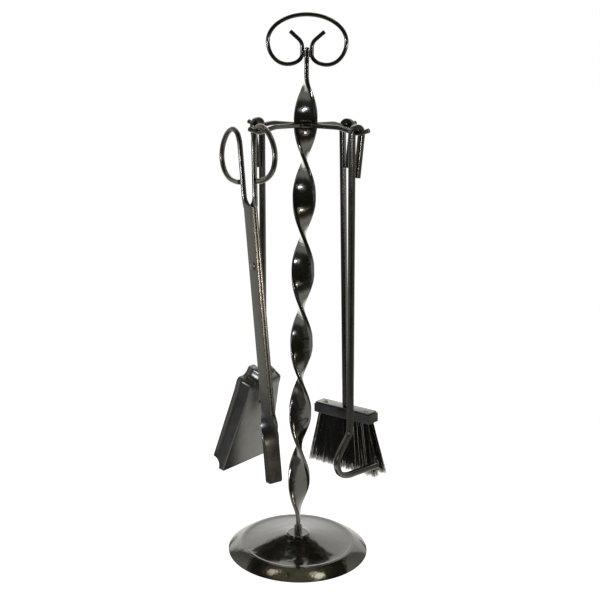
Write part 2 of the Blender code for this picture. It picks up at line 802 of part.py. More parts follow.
def loop_path(lean):
    """A finger loop and its shank in the leg's plane, from the cut end that meets the shank.

    It is drawn for the leg whose loop is on +X. The shank rises from the shoulder, leaning by the
    given angle, and the loop closes on it again.
    """
    butt = 2 * TONGS_ROD + GAP
    loop = [
        (butt, 15.4),
        (14.5, 16.4),
        (26.5, 20.6),
        (35.8, 29.6),
        (38.9, 42.5),
        (34.6, 55.5),
        (24.4, 66.2),
        (12.6, 70.2),
        (3.8, 65.6),
        (0.4, 56.5),
    ]
    loop = smooth_path([(x if i == 0 else x * MM, z * MM) for i, (x, z) in enumerate(loop)], 4)
    path = loop + [(0.0, 44 * MM), (0.0, 20 * MM), (0.0, 0.0)]
    turn = Matrix.Rotation(-lean, 2)
    base = Vector((LEG_HALF_WIDTH - TONGS_ROD, SHOULDER_TOP))
    return [tuple(base + turn @ Vector(point)) for point in path]


def rod_rings(path, across):
    """Round sections along a plane path that lies at the given distance across the plane."""
    rings = []
    normal = Vector((0.0, 1.0, 0.0))
    for index, (x, z) in enumerate(path):
        before = Vector(path[max(index - 1, 0)])
        after = Vector(path[min(index + 1, len(path) - 1)])
        tangent = (after - before).normalized()
        side = Vector((-tangent.y, 0.0, tangent.x))
        rings.append(
            section_ring(Vector((x, across, z)), side, normal, TONGS_ROD, TONGS_ROD, TONGS_ROD)
        )
    return rings


def shoulder_rings(rod_across, flat_across):
    """The concave shoulder where the round shank spreads into the flat leg."""
    rings = []
    outer = LEG_HALF_WIDTH
    start = outer - 2 * TONGS_ROD
    for step in range(1, 7):
        angle = math.radians(90 * step / 6)
        inner = start - (start + outer) * (1 - math.cos(angle))
        z = SHOULDER_TOP - SHOULDER_LENGTH * math.sin(angle) - 0.4 * MM * step
        share = step / 6
        thick = TONGS_ROD + (LEG_HALF_THICKNESS - TONGS_ROD) * share
        across = rod_across + (flat_across - rod_across) * share
        corner = TONGS_ROD + (LEG_CORNER - TONGS_ROD) * min(1.3 * share, 1.0)
        corner = min(corner, thick)
        centre = Vector(((outer + inner) / 2, across, z))
        rings.append(
            section_ring(
                centre, Vector((1, 0, 0)), Vector((0, 1, 0)), (outer - inner) / 2, thick, corner
            )
        )
    return rings


def flat_rings(flat_across):
    """The straight leg, the quarter twist above the jaw, and the jaw with its rounded end."""
    rings = []
    layer = abs(flat_across)
    heights = [6 * MM, -6 * MM, TWIST_START]
    steps = 9
    heights += [
        TWIST_START + (TWIST_END - TWIST_START) * (step + 1) / steps for step in range(steps)
    ]
    heights += [JAW_END + 3.2 * MM, JAW_END + 1.2 * MM, JAW_END]
    for height in heights:
        share = (TWIST_START - height) / (TWIST_START - TWIST_END)
        share = min(max(share, 0.0), 1.0)
        turn = math.pi / 2 * (3 * share**2 - 2 * share**3)
        offset = Vector((-math.sin(turn), math.cos(turn), 0.0))
        width = Vector((math.cos(turn), math.sin(turn), 0.0))
        tip = max(0.0, 1.0 - (height - JAW_END) / (3.2 * MM))
        half = LEG_HALF_WIDTH - 3.0 * MM * tip**2
        centre = offset * layer + Vector((0.0, 0.0, height))
        rings.append(section_ring(centre, width, offset, half, LEG_HALF_THICKNESS, LEG_CORNER))
    return rings


def build_leg(side, frame):
    """A leg whose loop is on +X and whose flat lies on +Y of the plane between the legs."""
    rod_across = TONGS_ROD + GAP / 2
    flat_across = LEG_HALF_THICKNESS + GAP / 2
    rings = rod_rings(loop_path(SHANK_LEAN[side]), rod_across)
    rings += shoulder_rings(rod_across, flat_across)
    rings += flat_rings(flat_across)
    return loft("tongs_%s_leg" % side, rings, LACQUER, frame)


def pivot_place():
    """The rivet's place in the tongs' frame, with the back leg's loop hung over the arm."""
    sine, cosine = math.sin(TONGS_LEAN), math.cos(TONGS_LEAN)
    top = max(loop_path(SHANK_LEAN["back"]), key=lambda point: point[0] * sine + point[1] * cosine)
    reach = ARM_ROD + GAP + TONGS_ROD
    return (reach * sine - top[0], -TONGS_ROD - GAP / 2, reach * cosine - top[1])


def build_tongs():
    """The legs lie face to face. The back leg hangs by its loop; the front leg turns on the rivet."""
    frame = tool_frame("tongs", TONGS_YAW, TONGS_LEAN)
    pivot = add_empty("tongs_pivot", pivot_place())
    pivot.parent = frame
    back = build_leg("back", pivot)
    front = build_leg("front", pivot)
    front.rotation_euler = (0.0, 0.0, math.pi)
    shank = RIVET_SHANK
    reach = 2 * LEG_HALF_THICKNESS + 1.5 * GAP
    head = arc((0.0, reach), (4.2 * MM, 1.5 * MM), 90, 0, 4)
    tail = arc((0.0, -reach), (4.2 * MM, 1.5 * MM), 0, -90, 4)
    profile = head + [(shank, reach), (shank, -reach)] + tail
    rivet = turned_part("tongs_rivet", profile, STEEL, pivot, steps=20)
    rivet.rotation_euler = (math.pi / 2, 0.0, 0.0)
    hole = cylinder_mesh("tongs_rivet_hole", shank + GAP, 20 * MM, 20)
    turn = Matrix.Rotation(math.pi / 2, 4, "X")
    cutter = add_cutter("tongs_rivet_hole", hole, turn, pivot)
    cut(back, cutter)
    cut(front, cutter)


def stand_on_origin():
    """Put everything on one empty, which brings the middle of the set to the world's origin."""
    stem_axis = add_empty("stem_axis", STEM_OFFSET)
    for obj in list(PARTS.objects) + list(HELPERS.objects):
        if obj.parent is None and obj is not stem_axis:
            obj.parent = stem_axis


def main():
    build_base()
    build_stem()
    build_stem_weld()
    build_handle()
    build_handle_weld()
    build_hangers()
    square = section_guide("shaft_section", SHAFT, SHAFT, SHAFT_CORNER)
    build_poker(square)
    build_brush(square)
    build_shovel(square)
    build_tongs()
    stand_on_origin()


main()
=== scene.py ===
"""The looks of the fireplace tool set: fine meshes, lacquer, bristles, studio and camera.

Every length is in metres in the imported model's own frame. The stem's axis, the arms and the tools'
frames are those of the CAD parts, so that each fine mesh follows the part it stands for.
"""

import random
from math import cos, pi, radians, sin, sqrt, tan

import bmesh
import bpy
from mathutils import Matrix, Vector, noise


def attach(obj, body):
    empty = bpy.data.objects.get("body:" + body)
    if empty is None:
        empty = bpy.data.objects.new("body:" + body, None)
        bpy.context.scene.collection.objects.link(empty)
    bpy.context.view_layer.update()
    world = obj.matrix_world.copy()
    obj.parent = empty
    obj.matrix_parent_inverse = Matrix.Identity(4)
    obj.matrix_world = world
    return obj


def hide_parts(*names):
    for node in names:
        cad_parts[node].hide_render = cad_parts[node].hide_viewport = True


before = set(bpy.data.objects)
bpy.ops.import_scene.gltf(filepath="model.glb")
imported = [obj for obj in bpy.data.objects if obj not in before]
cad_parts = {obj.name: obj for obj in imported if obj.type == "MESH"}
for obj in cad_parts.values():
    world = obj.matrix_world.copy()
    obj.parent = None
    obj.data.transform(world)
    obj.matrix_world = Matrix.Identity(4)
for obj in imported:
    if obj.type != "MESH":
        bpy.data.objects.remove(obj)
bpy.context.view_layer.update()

MM = 0.001
X_AXIS, Y_AXIS, Z_AXIS = Vector((1, 0, 0)), Vector((0, 1, 0)), Vector((0, 0, 1))
STEM_AXIS = Vector((1.9, -13.0, 0.0)) * MM
STEM_PLACE = Matrix.Translation(STEM_AXIS)
SEED = 7

# The dish; the points of its cone and its bead are in millimetres.
BASE_RADIUS = 80.6 * MM
BASE_SHEET = 1.6 * MM
BASE_HEM = 3.4 * MM
BEAD_RADIUS = 62 * MM
RIM_START = Vector((65.2, 9.15)) * MM
RIM_CROWN = Vector((72.4, 6.1)) * MM
BOSS_RADIUS = 12.4 * MM
BOSS_HEIGHT = 19 * MM
CONE_POINTS = [(24, 15.1), (29, 14.05), (34, 13.1), (41, 11.8), (48, 10.6), (54, 9.72), (60, 8.97)]
BEAD_POINTS = [
    (61, 9.05), (61.8, 9.17), (62.5, 9.28), (63.1, 9.3), (63.6, 9.2), (64.1, 9.1), (64.7, 9.13),
]
DISH_STEPS = 144

# The stem.
BAR_WIDTH = 25 * MM
BAR_THICKNESS = 5 * MM
BAR_EDGE = 1.3 * MM
BAR_EDGE_REACH = 3.4 * MM
STEM_BOTTOM = 19.3 * MM
STEM_TOP = 563.5 * MM
TWIST_BOTTOM = 45.5 * MM
HALF_TURN = 81.1 * MM
HALF_TURNS = 6
TWIST_EASE = 7 * MM
TWIST_RINGS = 240

# The ring handle.
HANDLE_ROD = 2.15 * MM
HANDLE_HALF_WIDTH = 40.5 * MM
HANDLE_TOP = 598.8 * MM
HANDLE_SHOULDER = 572 * MM
LOBE_BOTTOM = 549 * MM
LOBE_CENTRE = 20.3 * MM
PINCH_HEIGHT = 559.5 * MM
CURL_RADIUS = 11 * MM
CURL_DEGREES = 49
CURL_RISE = 6.5 * MM
CURL_END = 12 * MM
TOP_WELD_RISE = 1.5 * MM
TACK_SIZE = Vector((1.4, 1.2, 1.5)) * MM
TACK_HEIGHTS = (-1.6 * MM, 0.6 * MM, 2.6 * MM)

# The arms, and the places where the tools hang on them.
ARM_ANGLES = {"poker": -41.25, "brush": 48.75, "shovel": 138.75, "tongs": 228.75}
HANG_RADII = {"poker": 68.7 * MM, "brush": 70 * MM, "shovel": 70 * MM, "tongs": 69 * MM}
ARM_ROD = 2.5 * MM
ARM_HEIGHT = 487 * MM
ARM_LENGTH = 84 * MM
SEAT_RADIUS = 70 * MM
SEAT_DIP = 4 * MM
DIP_START = 42 * MM
ARM_BEND = 12.9 * MM
GAP = 0.3 * MM

# Square bar, crook and the way each tool hangs: (yaw, lean) in degrees.
SHAFT = 6 * MM
CROWN_POWER = 5.5
END_CHAMFER = 0.35 * MM
CROOK_RADIUS = 6.7 * MM
CROOK_TOP = ARM_ROD + GAP + SHAFT / 2
CROOK_LEG = 44 * MM
CROOK_SLANT = 7.8
HANG = {"poker": (42, 1.95), "brush": (-40, 2.8), "shovel": (48.75, 1.3), "tongs": (-55, 10)}

# The poker's foot, in millimetres in its own frame, and the shear of its chisel cut.
POKER_FOOT = [
    (-7.0, -314), (-9.0, -324), (-19.5, -337.5), (-25.0, -346.5), (-26.5, -356),
    (-21.5, -366.5), (-11, -371.5), (4, -372.5), (36, -374),
]
CHISEL_SHEAR = 0.62 * tan(radians(52))

# The brush head.
PLATE_TOP = -324.4 * MM
PLATE_SIZE = Vector((79, 15.5, 1.6)) * MM
BLOCK_SIZE = Vector((82, 18, 11)) * MM
SCREW_OFFSET = 29.8 * MM
SCREW_RADIUS = 2.9 * MM
SCREW_RISE = 1.3 * MM
RECESS_SIZE = Vector((2.9, 0.75, 0.66)) * MM
RECESS_HEIGHT = 1.03 * MM
TUFTS_IN_ROW = 11
TUFT_ROOT_SPAN = 69 * MM
TUFT_TIP_SPAN = 93 * MM
TUFT_TIP_SHIFT = 1.5 * MM
TUFT_ROOT_ROW = 3.8 * MM
TUFT_TIP_ROW = 7.6 * MM
TUFT_LENGTH = 61 * MM
TUFT_ROOT_SPREAD = 2.6 * MM
TUFT_TIP_SPREAD = 4.1 * MM
FIBRES_IN_TUFT = 125
FIBRE_RADIUS = 0.22 * MM
FIBRE_STRAY = 0.7 * MM
FIBRE_STEPS = 6
FIBRE_SHORTFALLS = (0.3 * MM, 1.0 * MM, 2.2 * MM, 5.5 * MM)

# The shovel's pan.
PAN_SLOPE = radians(16.5)
PAN_CORNER_DROP = 300.5 * MM
PAN_LENGTH = 113 * MM
PAN_HALF_BACK = 26 * MM
PAN_HALF_LIP = 41.5 * MM
PAN_SHEET = 1.4 * MM
PAN_WALL_BACK = 20 * MM
PAN_WALL_FRONT = 18.5 * MM
PAN_WALL_LIP = 7 * MM
PAN_WALL_START = 11 * MM
PAN_COVE = 12 * MM
PAN_FLARE = 0.22
PAN_BACK_LEAN = 0.06
PAN_FOLD = 2.2 * MM
FOLD_LEVELS = 3
WALL_LEVELS = 2
SLOT_HALF = 4.6 * MM
SOCKET_HALF = 13 * MM
SOCKET_RISE = 15.2 * MM
SHOVEL_BEND = 3 * MM
CROOK_GUIDED = 40  # points of the shaft's path that are guided by the crook's plane
TANG_END = 36 * MM
RIVET_PLACES = (13 * MM, 27 * MM)
PAN_RIVET = (2.6 * MM, 1.2 * MM, 1.4 * MM)  # radius and rise of a dome, radius of the shank

# The tongs; the points of a finger loop are in millimetres.
LEG_HALF_WIDTH = 8.65 * MM
LEG_HALF_THICKNESS = 1.5 * MM
LEG_CORNER = 0.5 * MM
TONGS_ROD = 2.75 * MM
TONGS_LOOP = [
    (14.5, 16.4), (26.5, 20.6), (35.8, 29.6), (38.9, 42.5), (34.6, 55.5), (24.4, 66.2),
    (12.6, 70.2), (3.8, 65.6), (0.4, 56.5),
]
SHANK_LEAN = {"back": radians(6.7), "front": radians(-0.6)}
SHOULDER_TOP = 72 * MM
SHOULDER_LENGTH = 9 * MM
TWIST_START = -151 * MM
TWIST_END = -190 * MM
JAW_END = -229.5 * MM
TWIST_STEPS = 36
TIP_DEPTH = 2.4 * MM
TIP_CORNER = 2.2 * MM
TONGS_RIVET = (4.2 * MM, 1.5 * MM, 2.4 * MM)

# The studio.
FLOOR_RADIUS = 0.62
FLOOR_DROP = 0.0004
TABLE_CENTRE = (0.05, -0.10, 0.0)
TABLE_RADIUS = 0.26
PAPER_CENTRE = (0.0, 0.36, 0.0)
PAPER_RADIUS = 0.3
WALL_TOP = sin(radians(45))
CEILING_GLOW = sin(radians(58))
LAMP_TURN = 53
LAMP_PLACE = (0.46, 1.35)  # height above the floor and distance from the stem
UMBRELLA_PLACE = (0.47, 1.4)
COOL = (0.89, 0.95, 1.0)
WARM = (1.0, 0.88, 0.68)
WALL_LEFT = (1.46, 1.44, 1.36)
WALL_RIGHT = (1.02, 1.0, 0.95)
OVERHEAD_DARK = (0.017, 0.017, 0.014)
OVERHEAD_GLOW = (0.44, 0.41, 0.27)
WHITE = (1.0, 1.0, 1.0)

# The room round the set as it shows in reflections: degrees from behind the set, and colour.
ROOM = [
    (-180, (0.03, 0.03, 0.026)),
    (-115, (0.035, 0.034, 0.03)),
    (-92, (0.12, 0.115, 0.1)),
    (-76, (0.75, 0.73, 0.66)),
    (-58, (0.60, 0.58, 0.5)),
    (-38, (0.2, 0.19, 0.155)),
    (0, (0.2, 0.19, 0.155)),
    (38, (0.3, 0.29, 0.24)),
    (60, (0.62, 0.61, 0.52)),
    (75, (0.95, 0.94, 0.82)),
    (86, (0.46, 0.45, 0.38)),
    (96, (0.09, 0.09, 0.075)),
    (120, (0.035, 0.035, 0.03)),
    (180, (0.03, 0.03, 0.026)),
]

# The camera.
CAMERA_PLACE = Vector((0.0, -1.040, 0.557))
CAMERA_LENS = 58.62
CAMERA_PAN = radians(0.14)
CAMERA_TILT = radians(90 - 14)
CAMERA_ROLL = radians(1.04)

rng = random.Random(SEED)


# ---- plane curves


def arc(centre, radii, start, end, steps):
    """Points on an ellipse's arc in a plane, both ends included, with angles in degrees."""
    points = []
    for index in range(steps + 1):
        angle = radians(start + (end - start) * index / steps)
        points.append((centre[0] + radii[0] * cos(angle), centre[1] + radii[1] * sin(angle)))
    return points


def bent_curve(start, crown, end, steps):
    """Points on the curve that leaves start and reaches end along lines through the crown."""
    points = []
    for index in range(steps + 1):
        t = index / steps
        points.append(tuple((1 - t) ** 2 * start + 2 * t * (1 - t) * crown + t * t * end))
    return points


def smooth_path(points, steps):
    """A Catmull-Rom curve through plane points, with the given number of steps between them."""
    padded = [points[0]] + list(points) + [points[-1]]
    path = []
    for index in range(1, len(padded) - 2):
        p0, p1, p2, p3 = (Vector(p) for p in padded[index - 1 : index + 3])
        for step in range(steps):
            t = step / steps
            bend = (2 * p0 - 5 * p1 + 4 * p2 - p3) * t * t + (3 * p1 - p0 - 3 * p2 + p3) * t**3
            path.append(tuple(0.5 * (2 * p1 + (p2 - p0) * t + bend)))
    path.append(tuple(points[-1]))
    return path


def upright(points):
    """Plane points stood up in the XZ plane."""
    return [Vector((x, 0.0, z)) for x, z in points]


# ---- skins


def round_section(radius):
    sides = 20
    angles = [2 * pi * index / sides for index in range(sides)]
    return [(radius * cos(angle), radius * sin(angle)) for angle in angles]


def bar_section(half_width, half_thickness, corner, per_corner, reach=None):
    """Points round a bar's section, anticlockwise; each corner may reach further along the width."""
    reach = reach or corner
    section = []
    for quarter, (sx, sy) in enumerate(((1, 1), (-1, 1), (-1, -1), (1, -1))):
        for step in range(per_corner + 1):
            angle = pi / 2 * (quarter + step / per_corner)
            x = sx * (half_width - reach) + reach * cos(angle)
            y = sy * (half_thickness - corner) + corner * sin(angle)
            section.append((x, y))
    return section


def ring_of(section, centre, across, normal, scale=1.0):
    return [centre + across * (x * scale) + normal * (y * scale) for x, y in section]


def add_tube(bm, rows):
    """Faces round and between rows with equal numbers of points, and one over each end."""
    count = len(rows[0])
    for first, second in zip(rows, rows[1:]):
        for index in range(count):
            after = (index + 1) % count
            bm.faces.new((first[index], first[after], second[after], second[index]))
    bm.faces.new(rows[0][::-1])
    bm.faces.new(rows[-1])


def skin(name, rings, matrix):
    """One closed smooth skin over a row of sections."""
    bm = bmesh.new()
    add_tube(bm, [[bm.verts.new(point) for point in ring] for ring in rings])
    return closed_piece(name, bm, matrix, 38)


def new_object(name, data):
    obj = bpy.data.objects.new(name, data)
    bpy.context.scene.collection.objects.link(obj)
    return obj


def piece_from(name, bm, matrix, sharp):
    """An object from a bmesh, smooth but for edges that turn more than the sharp angle."""
    mesh = bpy.data.meshes.new(name)
    bm.to_mesh(mesh)
    bm.free()
    mesh.transform(matrix)
    mesh.shade_smooth()
    mesh.set_sharp_from_angle(angle=radians(sharp))
    return new_object(name, mesh)


def closed_piece(name, bm, matrix, sharp):
    bmesh.ops.recalc_face_normals(bm, faces=bm.faces)
    return piece_from(name, bm, matrix, sharp)


def turned(name, profile, steps, matrix, sharp=60):
    """A profile of (radius, height) points, whose ends lie on the axis, turned round it."""
    bm = bmesh.new()
    verts = [bm.verts.new((max(r, 0.0), 0.0, z)) for r, z in profile]
    edges = [bm.edges.new(pair) for pair in zip(verts, verts[1:])]
    bmesh.ops.spin(
        bm, geom=verts + edges, cent=(0, 0, 0), axis=(0, 0, 1), angle=2 * pi, steps=steps
    )
    bmesh.ops.remove_doubles(bm, verts=bm.verts, dist=0.004 * MM)
    return closed_piece(name, bm, matrix, sharp)


def tangent_at(points, index):
    after = points[min(index + 1, len(points) - 1)]
    return (after - points[max(index - 1, 0)]).normalized()


def sweep_rings(points, section, up):
    """Sections along a path, with a small chamfer at each of its two ends."""
    cap = END_CHAMFER
    end_scale = 1 - cap / max(abs(x) for x, _ in section)
    rings = []
    last = len(points) - 1
    for index, point in enumerate(points):
        tangent = tangent_at(points, index)
        side = up.cross(tangent).normalized()
        normal = tangent.cross(side)
        ring = ring_of(section, point, side, normal)
        if index == 0:
            rings.append(ring_of(section, point, side, normal, end_scale))
            rings.append([p + tangent * cap for p in ring])
        elif index == last:
            rings.append([p - tangent * cap for p in ring])
            rings.append(ring_of(section, point, side, normal, end_scale))
        else:
            rings.append(ring)
    return rings


def sweep(name, points, section, up, matrix):
    return skin(name, sweep_rings(points, section, up), matrix)


# ---- materials


def node(tree, kind, links=None, **settings):
    """A shader node with its input values and incoming links, given by the sockets' names."""
    made = tree.nodes.new("ShaderNode" + kind)
    for key, value in settings.items():
        setattr(made, key, value)
    for socket, value in (links or {}).items():
        if isinstance(value, bpy.types.NodeSocket):
            tree.links.new(value, made.inputs[socket])
        else:
            made.inputs[socket].default_value = value
    return made


def new_material(name, **values):
    """A material and its Principled shader, whose sockets take the given plain values."""
    material = bpy.data.materials.new(name)
    material.use_nodes = True
    tree = material.node_tree
    shader = tree.nodes["Principled BSDF"]
    for key, value in values.items():
        shader.inputs[key.replace("_", " ")].default_value = value
    return material, tree, shader


def feed(shader, socket, value):
    shader.id_data.links.new(value, shader.inputs[socket])


def noise_of(tree, scale, detail=2.0, rough=0.5):
    where = node(tree, "TexCoord").outputs["Object"]
    settings = {"Vector": where, "Scale": scale, "Detail": detail, "Roughness": rough}
    return node(tree, "TexNoise", settings).outputs["Fac"]


def remap(tree, value, low, high, to_low=0.0, to_high=1.0, smooth=False):
    settings = {
        "Value": value, "From Min": low, "From Max": high, "To Min": to_low, "To Max": to_high,
    }
    kind = "SMOOTHSTEP" if smooth else "LINEAR"
    made = node(tree, "MapRange", settings, interpolation_type=kind)
    return made.outputs["Result"]


def blend_colour(tree, share, first, second):
    mix = tree.nodes.new("ShaderNodeMix")
    mix.data_type = "RGBA"
    tree.links.new(share, mix.inputs[0])
    for index, value in ((6, first), (7, second)):
        if isinstance(value, bpy.types.NodeSocket):
            tree.links.new(value, mix.inputs[index])
        else:
            mix.inputs[index].default_value = (*value, 1.0)
    return mix.outputs[2]


def bump(tree, shader, height, strength, distance):
    links = {"Height": height, "Strength": strength, "Distance": distance}
    feed(shader, "Normal", node(tree, "Bump", links).outputs["Normal"])


def math_node(tree, operation, first, second):
    return node(tree, "Math", {0: first, 1: second}, operation=operation).outputs[0]


def lacquer(name, tones, roughness, flecks_above=0.63, coat=0.05, relief=0.16, ripple=0.0):
    """Antique black lacquer: clouded dark brown with fine bronze flecks, under a hard clear coat."""
    dark, warm, fleck = tones
    material, tree, shader = new_material(
        name, Metallic=0.0, IOR=1.75, Coat_Weight=0.55, Coat_Roughness=coat, Coat_IOR=1.5
    )
    clouds = remap(tree, noise_of(tree, 55.0, 4.0), 0.35, 0.7)
    ground = blend_colour(tree, clouds, dark, warm)
    specks = remap(tree, noise_of(tree, 1500.0, 2.0, 0.6), flecks_above, flecks_above + 0.09)
    patches = remap(tree, noise_of(tree, 140.0, 3.0), 0.42, 0.62)
    flecks = math_node(tree, "MULTIPLY", specks, patches)
    coloured = blend_colour(tree, flecks, ground, fleck)
    edge = remap(tree, node(tree, "NewGeometry").outputs["Pointiness"], 0.58, 0.68)
    worn = math_node(tree, "MULTIPLY", edge, remap(tree, noise_of(tree, 60.0, 3.0), 0.35, 0.65))
    coloured = blend_colour(tree, math_node(tree, "MULTIPLY", worn, 0.3), coloured, fleck)
    feed(shader, "Base Color", coloured)
    feed(shader, "Metallic", math_node(tree, "MULTIPLY", flecks, 0.8))
    smudges = remap(tree, noise_of(tree, 90.0, 5.0, 0.6), 0.3, 0.7, *roughness)
    feed(shader, "Roughness", smudges)
    grit = math_node(tree, "MULTIPLY", noise_of(tree, 1700.0, 1.0), 0.25)
    peel = math_node(tree, "ADD", noise_of(tree, 420.0, 2.0), grit)
    waves = math_node(tree, "MULTIPLY", noise_of(tree, 75.0, 2.0), ripple)
    bump(tree, shader, math_node(tree, "ADD", peel, waves), relief, 0.12 * MM)
    return material


def painted_wood():
    """Black paint over straight grain, thin on the arrises."""
    material, tree, shader = new_material("black_painted_wood", IOR=1.5, Coat_Weight=0.12)
    where = node(tree, "TexCoord").outputs["Object"]
    grain_space = node(tree, "Mapping", {"Vector": where, "Scale": (140, 140, 900)})
    settings = {"Vector": grain_space.outputs["Vector"], "Scale": 1.0, "Detail": 4.0}
    grain = node(tree, "TexNoise", settings).outputs["Fac"]
    tone = remap(tree, grain, 0.35, 0.7)
    coloured = blend_colour(tree, tone, (0.010, 0.010, 0.011), (0.028, 0.028, 0.030))
    edge = remap(tree, node(tree, "NewGeometry").outputs["Pointiness"], 0.52, 0.6)
    coloured = blend_colour(tree, edge, coloured, (0.045, 0.043, 0.04))
    feed(shader, "Base Color", coloured)
    feed(shader, "Roughness", remap(tree, grain, 0.3, 0.7, 0.32, 0.5))
    bump(tree, shader, grain, 0.25, 0.15 * MM)
    return material


def bristle():
    """Black bristle with pale colour painted along some fibres as highlights on their sides, split
    and pale at its tip.
    """
    material, tree, shader = new_material("black_bristle", IOR=1.38)
    tone = node(tree, "Attribute", attribute_name="fibre_tone").outputs["Fac"]
    along = node(tree, "Attribute", attribute_name="fibre_along").outputs["Fac"]
    body = blend_colour(tree, tone, (0.002, 0.002, 0.0025), (0.007, 0.0065, 0.006))
    # Fibres of the highest tone are painted pale all along: a painted highlight on their sides.
    body = blend_colour(tree, remap(tree, tone, 0.92, 0.98), body, (0.48, 0.45, 0.38))
    pale = remap(tree, along, 0.87, 0.97, smooth=True)
    split = math_node(tree, "MULTIPLY", pale, remap(tree, tone, 0.2, 0.5))
    feed(shader, "Base Color", blend_colour(tree, split, body, (0.78, 0.76, 0.7)))
    rough = remap(tree, noise_of(tree, 700.0), 0.3, 0.7, 0.22, 0.42)
    feed(shader, "Roughness", rough)
    return material


def steel_wear_and_shade(name, bright, dark):
    """Bare steel that hammering and handling have marked; with near-black colours it is the painted
    shade of the screws' recess.
    """
    material, tree, shader = new_material(name, Metallic=0.9)
    marks = remap(tree, noise_of(tree, 500.0, 4.0, 0.6), 0.35, 0.65)
    feed(shader, "Base Color", blend_colour(tree, marks, dark, bright))
    feed(shader, "Roughness", remap(tree, marks, 0.0, 1.0, 0.5, 0.24))
    bump(tree, shader, noise_of(tree, 900.0), 0.3, 0.1 * MM)
    return material


def make_lacquers():
    """One lacquer in six states: how warm its ground, how rough, how flecked and how wavy."""
    dark, deep, fleck = (0.0050, 0.0045, 0.0032), (0.0035, 0.003, 0.0022), (0.30, 0.21, 0.10)
    brown = (dark, (0.017, 0.0135, 0.0085), fleck)
    rod = (dark, (0.014, 0.0125, 0.009), fleck)
    sheet = (deep, (0.014, 0.0125, 0.009), fleck)
    raw = (dark, (0.03, 0.025, 0.018), fleck)
    states = {
        "stem": (brown, (0.11, 0.23), {"ripple": 40.0}),
        "dish": (brown, (0.08, 0.17), {"ripple": 24.0}),
        "bar": (rod, (0.14, 0.25), {"flecks_above": 0.67, "relief": 0.06}),
        "flat": (
            brown, (0.22, 0.34), {"flecks_above": 0.7, "coat": 0.1, "relief": 0.05, "ripple": 30.0}
        ),
        "pan": (
            sheet, (0.25, 0.38), {"flecks_above": 0.66, "coat": 0.22, "relief": 0.07, "ripple": 30.0}
        ),
        "weld": (raw, (0.1, 0.24), {"flecks_above": 0.56}),
    }
    made = {}
    for key, (tones, roughness, rest) in states.items():
        made[key] = lacquer("antique_lacquer_" + key, tones, roughness, **rest)
    return made


def make_materials():
    return make_lacquers() | {
        "wood": painted_wood(),
        "bristle": bristle(),
        "rivet": steel_wear_and_shade("hammered_steel", (0.32, 0.28, 0.21), (0.07, 0.06, 0.045)),
        "screw": steel_wear_and_shade("pale_steel", (0.8, 0.78, 0.72), (0.42, 0.4, 0.36)),
        # Near-black steel: painted shade in the screws' cross recess.
        "recess": steel_wear_and_shade("screw_recess", (0.05, 0.04, 0.03), (0.01, 0.01, 0.008)),
    }


MATERIALS = make_materials()


def finish_piece(obj, material, body, slot, *nodes):
    """Gives a piece its material and its body, and hides the CAD nodes that it stands for; the slot
    is not used.
    """
    obj.data.materials.clear()
    obj.data.materials.append(MATERIALS[material])
    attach(obj, body)
    if nodes:
        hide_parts(*nodes)


# ---- the stand


def dish_profile():
    """The CAD dish's section with its corners rounded off and its bead about 0.5 mm lower."""
    top = [(0.0, BOSS_HEIGHT), (BOSS_RADIUS - 1.2 * MM, BOSS_HEIGHT)]
    edge = Vector((BOSS_RADIUS - 1.0 * MM, BOSS_HEIGHT)), Vector((BOSS_RADIUS, BOSS_HEIGHT))
    top += bent_curve(*edge, Vector((BOSS_RADIUS + 0.8 * MM, 17.95 * MM)), 6)
    foot = Vector((14.1, 17.1)) * MM, Vector((19.0, 16.15)) * MM
    top += bent_curve(Vector(top[-1]), *foot, 8)[1:]
    top += [(r * MM, z * MM) for r, z in CONE_POINTS + BEAD_POINTS]
    rim = bent_curve(RIM_START, RIM_CROWN, Vector((BASE_RADIUS, 0.0)), 56)
    thinner = Vector((-0.4, -1.0)) * BASE_SHEET
    hem = Vector((BASE_RADIUS - BASE_HEM, 0.0))
    inner = bent_curve(hem, RIM_CROWN + thinner, RIM_START + thinner, 12)
    under = [(r, z - BASE_SHEET) for r, z in reversed(top) if r < BEAD_RADIUS - 3 * MM]
    return top + rim + inner + under


def make_dish():
    obj = turned("spun_dish", dish_profile(), DISH_STEPS, STEM_PLACE, 50)
    finish_piece(obj, "dish", "stand", "black_lacquer", "base_dish")


def eased(distance):
    """The length of full twist behind a point this far past the end of the straight part."""
    if distance < 0:
        return 0.0
    if distance < 2 * TWIST_EASE:
        return distance**2 / (4 * TWIST_EASE)
    return distance - TWIST_EASE


def twist_angle(height):
    """The bar's turn at a height; the twist sets in and dies out over a short length."""
    span = HALF_TURN * HALF_TURNS
    lower = min(eased(height - TWIST_BOTTOM + TWIST_EASE), span / 2)
    upper = min(eased(TWIST_BOTTOM + span + TWIST_EASE - height), span / 2)
    twisted = lower if height < TWIST_BOTTOM + span / 2 else span - upper
    return pi / 2 - twisted / HALF_TURN * pi


def make_stem():
    """The twisted flat bar, whose long edges are rolled round as hot twisting leaves them."""
    section = bar_section(BAR_WIDTH / 2, BAR_THICKNESS / 2, BAR_EDGE, 8, BAR_EDGE_REACH)
    first = TWIST_BOTTOM - TWIST_EASE
    rise = (HALF_TURN * HALF_TURNS + 2 * TWIST_EASE) / TWIST_RINGS
    heights = [STEM_BOTTOM, STEM_BOTTOM + 0.5 * MM, STEM_BOTTOM + 9 * MM]
    heights += [first + rise * index for index in range(TWIST_RINGS + 1)]
    heights += [STEM_TOP - 16 * MM, STEM_TOP - 0.6 * MM, STEM_TOP]
    rings = []
    for index, height in enumerate(heights):
        angle = twist_angle(height)
        across = Vector((cos(angle), sin(angle), 0.0))
        normal = Vector((-sin(angle), cos(angle), 0.0))
        scale = 0.94 if index in (0, len(heights) - 1) else 1.0
        rings.append(ring_of(section, Vector((0, 0, height)), across, normal, scale))
    obj = skin("twisted_bar", rings, STEM_PLACE)
    finish_piece(obj, "stem", "stand", "black_lacquer", "twisted_stem")


